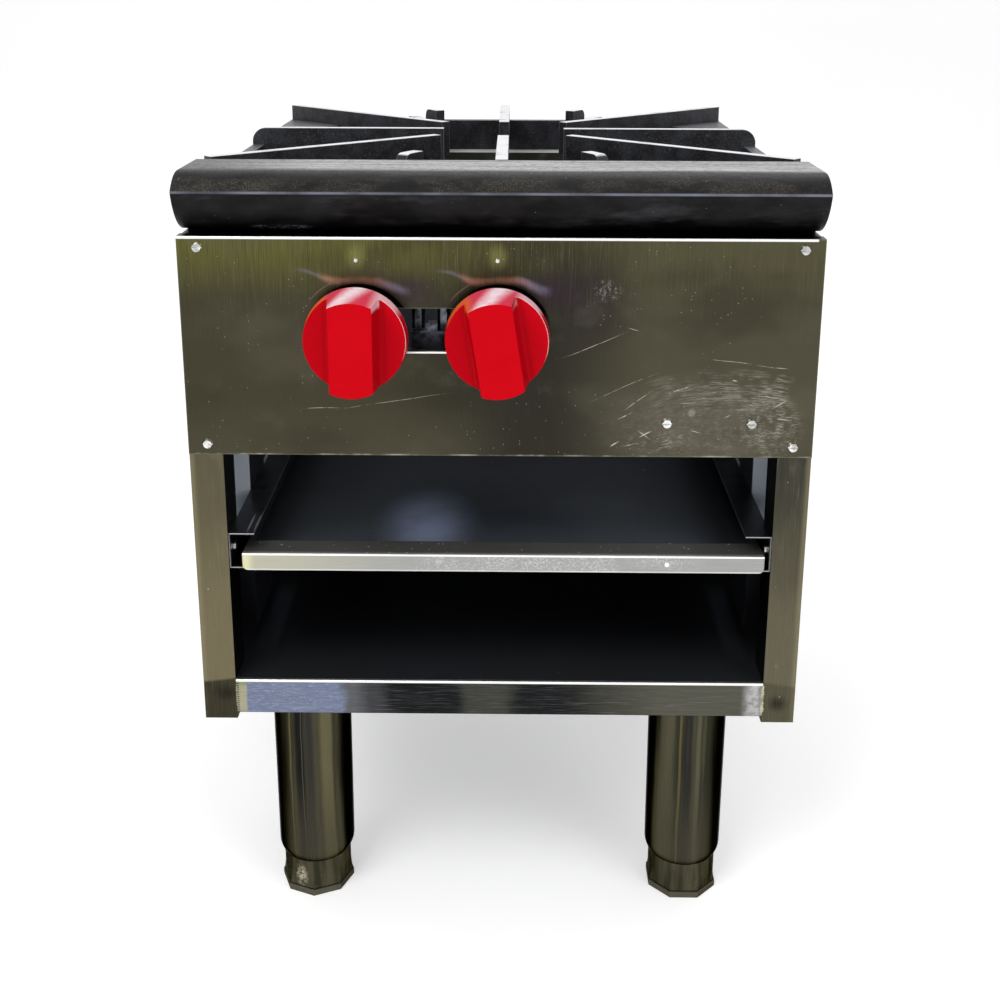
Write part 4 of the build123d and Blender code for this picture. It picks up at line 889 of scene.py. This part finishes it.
def iron_finish(name, top_tone):
    """Cast iron with a rough skin: bluish black, paler where it faces up as wear and a painted
    highlight, and with painted highlights along its edges.
    """
    finish = Finish(name, Specular_IOR_Level=0.25)
    edge_highlight = finish.soft_edges(0.0009)
    sand = finish.noise(480.0, detail=5.0, rough=0.7)
    lumps = finish.noise(60.0, detail=4.0, rough=0.6)
    finish.colour = finish.mix((0.006, 0.006, 0.0075), (0.022, 0.023, 0.029),
                               lumps.fade(0.35, 0.65))
    glitter = finish.noise(620.0, detail=4.0, rough=0.85, seed=2.0).fade(0.56, 0.66)
    finish.paint((0.17, 0.17, 0.185), glitter * 0.45)
    # paler where it faces up: wear and a painted highlight
    worn = (finish.up(0.75, 0.95)
            * finish.noise(55.0, detail=3.0, seed=1.0).fade(0.25, 0.5, 0.6, 1.0))
    finish.paint(top_tone, worn)
    # painted highlights along the edges
    finish.paint((0.55, 0.55, 0.56), edge_highlight * 0.35)
    finish.bump(lumps, 0.0005)
    finish.bump(sand, 0.0002)
    return finish.done(sand.fade(0.3, 0.7, 0.36, 0.52))


gleam_start = -0.0096         # where the gleam on a knob's top begins, from its centre
gleam_slope = 0.37            # and how fast it goes to the right with depth


def knob_finish(name, centre, turn):
    """Red plastic, with painted shade in the corners beside the grip and a painted highlight where
    it faces up.
    """
    finish = Finish(name, Specular_IOR_Level=0.03)
    edge_highlight = finish.soft_edges(0.0010)
    skin = finish.noise(60.0, detail=2.0)
    ripple = finish.noise(900.0, detail=2.0)
    finish.colour = finish.mix((0.57, 0.001, 0.006), (0.62, 0.002, 0.009), skin)
    across = ((finish.x - centre.x) * cos(radians(turn))
              + (finish.z - centre.z) * sin(radians(turn)))
    behind = finish.y.fade(knob_face_y + 0.001, knob_face_y + 0.004)
    shoulder = behind * abs(across).fade(0.015, 0.0158)
    finish.paint((0.56, 0.001, 0.009), shoulder * 0.8)
    # painted shade in the grooves beside the grip
    groove_shade = abs(across).band(0.016, 0.02, 0.004)
    finish.paint((0.4, 0.001, 0.006), groove_shade * behind * 0.7)
    # the rounded side: a painted highlight where it faces up, and a painted bright line down its
    # right side
    distance, angle = finish.polar((centre.x, centre.z))
    rim = abs(finish.facing[1]).fade(0.8, 0.4)
    top_highlight = rim * finish.facing[2].fade(0.35, 0.85)
    finish.paint((0.74, 0.06, 0.105), top_highlight * 0.9)
    # a painted pale slanting gleam across the top
    slant = finish.x - (centre.x + gleam_start) + (finish.y - knob_face_y) * -gleam_slope
    gleam = abs(slant).fade(0.0125, 0.001)
    gleam_breakup = finish.noise(160.0, detail=4.0, rough=0.6, seed=3.0).fade(0.3, 0.6, 0.7, 1.0)
    outer = distance.fade(knob_radius * 0.8, knob_radius * 0.88)
    flank = outer * rim * angle.band(0.55, 0.85, 0.25) * 0.6
    gleam = top_highlight * gleam * gleam_breakup | flank
    finish.paint((1.0, 0.8, 0.86), gleam)
    # a painted orange reflection on the left flank
    orange_reflection = rim * outer * angle.band(-1.15, -0.65, 0.2)
    finish.paint((0.86, 0.17, 0.02), orange_reflection * 0.7)
    # a painted bright line down the right side
    bright = (edge_highlight.fade(0.0, 0.4) * outer * finish.y.fade(knob_face_y + 0.02, knob_face_y + 0.024)
              * angle.band(0.5, 1.7, 0.3))
    finish.paint((1.0, 0.8, 0.8), bright)
    finish.bump(ripple, 0.00002)
    return finish.done(skin.fade(0.3, 0.7, 0.3, 0.4))


def metal_finish(name, dark, light, roughness, grain=500.0, metallic=1.0):
    """A small part's metal: two tones, a fine grain and painted highlights along the edges."""
    finish = Finish(name, Metallic=metallic)
    edge_highlight = finish.soft_edges(0.0003)
    tone = finish.noise(120.0, detail=3.0)
    fine = finish.noise(grain, detail=4.0, rough=0.7)
    finish.colour = finish.mix(dark, light, tone.fade(0.35, 0.65))
    # painted highlights along the edges
    finish.paint(tuple(min(1.0, part * 1.8) for part in light), edge_highlight * 0.5)
    finish.bump(fine, 0.00004)
    return finish.done(fine.fade(0.3, 0.7, roughness * 0.8, roughness * 1.2))


def dress(finish, *names):
    """Give these CAD nodes one material."""
    for name in names:
        materials = nodes[name].data.materials
        materials.clear()
        materials.append(finish)


# ---- welds ----------------------------------------------------------------------------------

def make_weld(name, x, low_z, high_z, half_width, proud, finish):
    """A wavering bead of weld down the joint between the shelf's flange and a post."""
    mesh = bmesh.new()
    rows, columns = 34, 7
    grid = []
    for row in range(rows + 1):
        share = row / rows
        z = low_z + (high_z - low_z) * share
        ends = min(1.0, 6.0 * share, 6.0 * (1.0 - share)) ** 0.5
        wobble = noise.noise(Vector((x * 50, 0.0, z * 260)))
        scale = (0.75 + 0.3 * wobble + 0.12 * sin(z * 2600)) * ends
        line = []
        for column in range(columns + 1):
            angle = pi * column / columns
            line.append(mesh.verts.new((x - cos(angle) * half_width * max(scale, 0.05)
                                        + wobble * half_width * 0.3,
                                        shelf_low.y + 0.0004 - sin(angle) * proud * scale, z)))
        grid.append(line)
    for lower, upper in zip(grid, grid[1:]):
        for column in range(columns):
            mesh.faces.new((lower[column], lower[column + 1], upper[column + 1], upper[column]))
        mesh.faces.new((lower[-1], lower[0], upper[0], upper[-1]))
    mesh.faces.new(grid[0][::-1])
    mesh.faces.new(grid[-1])
    bmesh.ops.recalc_face_normals(mesh, faces=mesh.faces)
    data = bpy.data.meshes.new(name)
    mesh.to_mesh(data)
    mesh.free()
    data.shade_smooth()
    data.materials.append(finish)
    weld = bpy.data.objects.new(name, data)
    bpy.context.scene.collection.objects.link(weld)
    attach(weld, "cabinet")


make_camera()
make_floor(floor_finish())
make_world()
make_lamp("key_lamp", (-1.2, -1.8, 2.6), (1.6, 1.2), 38.0)
make_lamp("fill_lamp", (1.6, -1.6, 1.6), (1.4, 1.4), 14.0)
make_lamp("back_lamp", (0.4, 1.8, 2.4), (1.6, 1.0), 12.0)

corners = ("front_left", "front_right", "back_left", "back_right")
dress(panel_finish(), "control_panel")
dress(post_finish(), *[f"{corner}_post" for corner in corners])
dress(rail_finish(), *[f"top_rail_{side}" for side in ("front", "back", "left", "right")])
dress(shelf_finish(), "bottom_shelf")
dress(tray_finish(), "crumb_tray")
dress(skin_finish(), "left_side_panel", "right_side_panel", "back_panel", "left_side_brace",
      "right_side_brace")
dress(guide_finish(), "left_tray_guide", "right_tray_guide")
for side in ("left", "right"):
    dress(leg_finish(side), f"front_{side}_leg", f"back_{side}_leg")
dress(foot_finish(), *[f"{corner}_foot" for corner in corners])
dress(ledge_finish(), "front_ledge")
dress(iron_finish("grate_iron", (0.80, 0.80, 0.82)), "grate_ribs")
dress(iron_finish("frame_iron", (0.10, 0.10, 0.11)), "grate_frame", "outer_burner",
      "inner_burner")
dress(knob_finish("left_knob_red", knob_centres[0], 0.0), "left_knob")
dress(knob_finish("right_knob_red", knob_centres[1], right_knob_turn), "right_knob")
dress(metal_finish("dark_steel", (0.03, 0.032, 0.036), (0.07, 0.073, 0.08), 0.35),
      "manifold_bracket", "burner_support_front", "burner_support_back", "leg_plates",
      "leg_inserts", "left_air_shutter", "right_air_shutter")
zinc = metal_finish("screw_zinc", (0.42, 0.42, 0.40), (0.82, 0.82, 0.80), 0.26)
dress(zinc, "panel_screws", "index_rivets", "guide_screws", "ledge_bolts", "left_valve_stem",
      "right_valve_stem", "pilot_tips")
dress(metal_finish("dull_brass", (0.10, 0.09, 0.06), (0.20, 0.18, 0.13), 0.4),
      "left_valve_body", "right_valve_body", "left_orifice", "right_orifice")
dress(metal_finish("sooty_steel", (0.035, 0.037, 0.042), (0.26, 0.27, 0.33), 0.35),
      "pilot_valve")
dress(metal_finish("black_pipe", (0.012, 0.012, 0.013), (0.035, 0.035, 0.037), 0.45,
                   metallic=0.0),
      "manifold_pipe", "manifold_cap", "supply_elbow", "supply_pipe")
dress(metal_finish("drawn_tube", (0.10, 0.10, 0.10), (0.22, 0.22, 0.21), 0.3), "pilot_tubes")

weld_metal = metal_finish("weld_metal", (0.24, 0.22, 0.14), (0.50, 0.47, 0.35), 0.3, grain=700.0)
make_weld("left_weld", -inner_post_x, shelf_low.z + 0.0015, shelf_high.z - 0.002, 0.0009, 0.0006,
          weld_metal)
make_weld("right_weld", inner_post_x, shelf_low.z - 0.0005, shelf_high.z - 0.001, 0.0019, 0.0011,
          weld_metal)
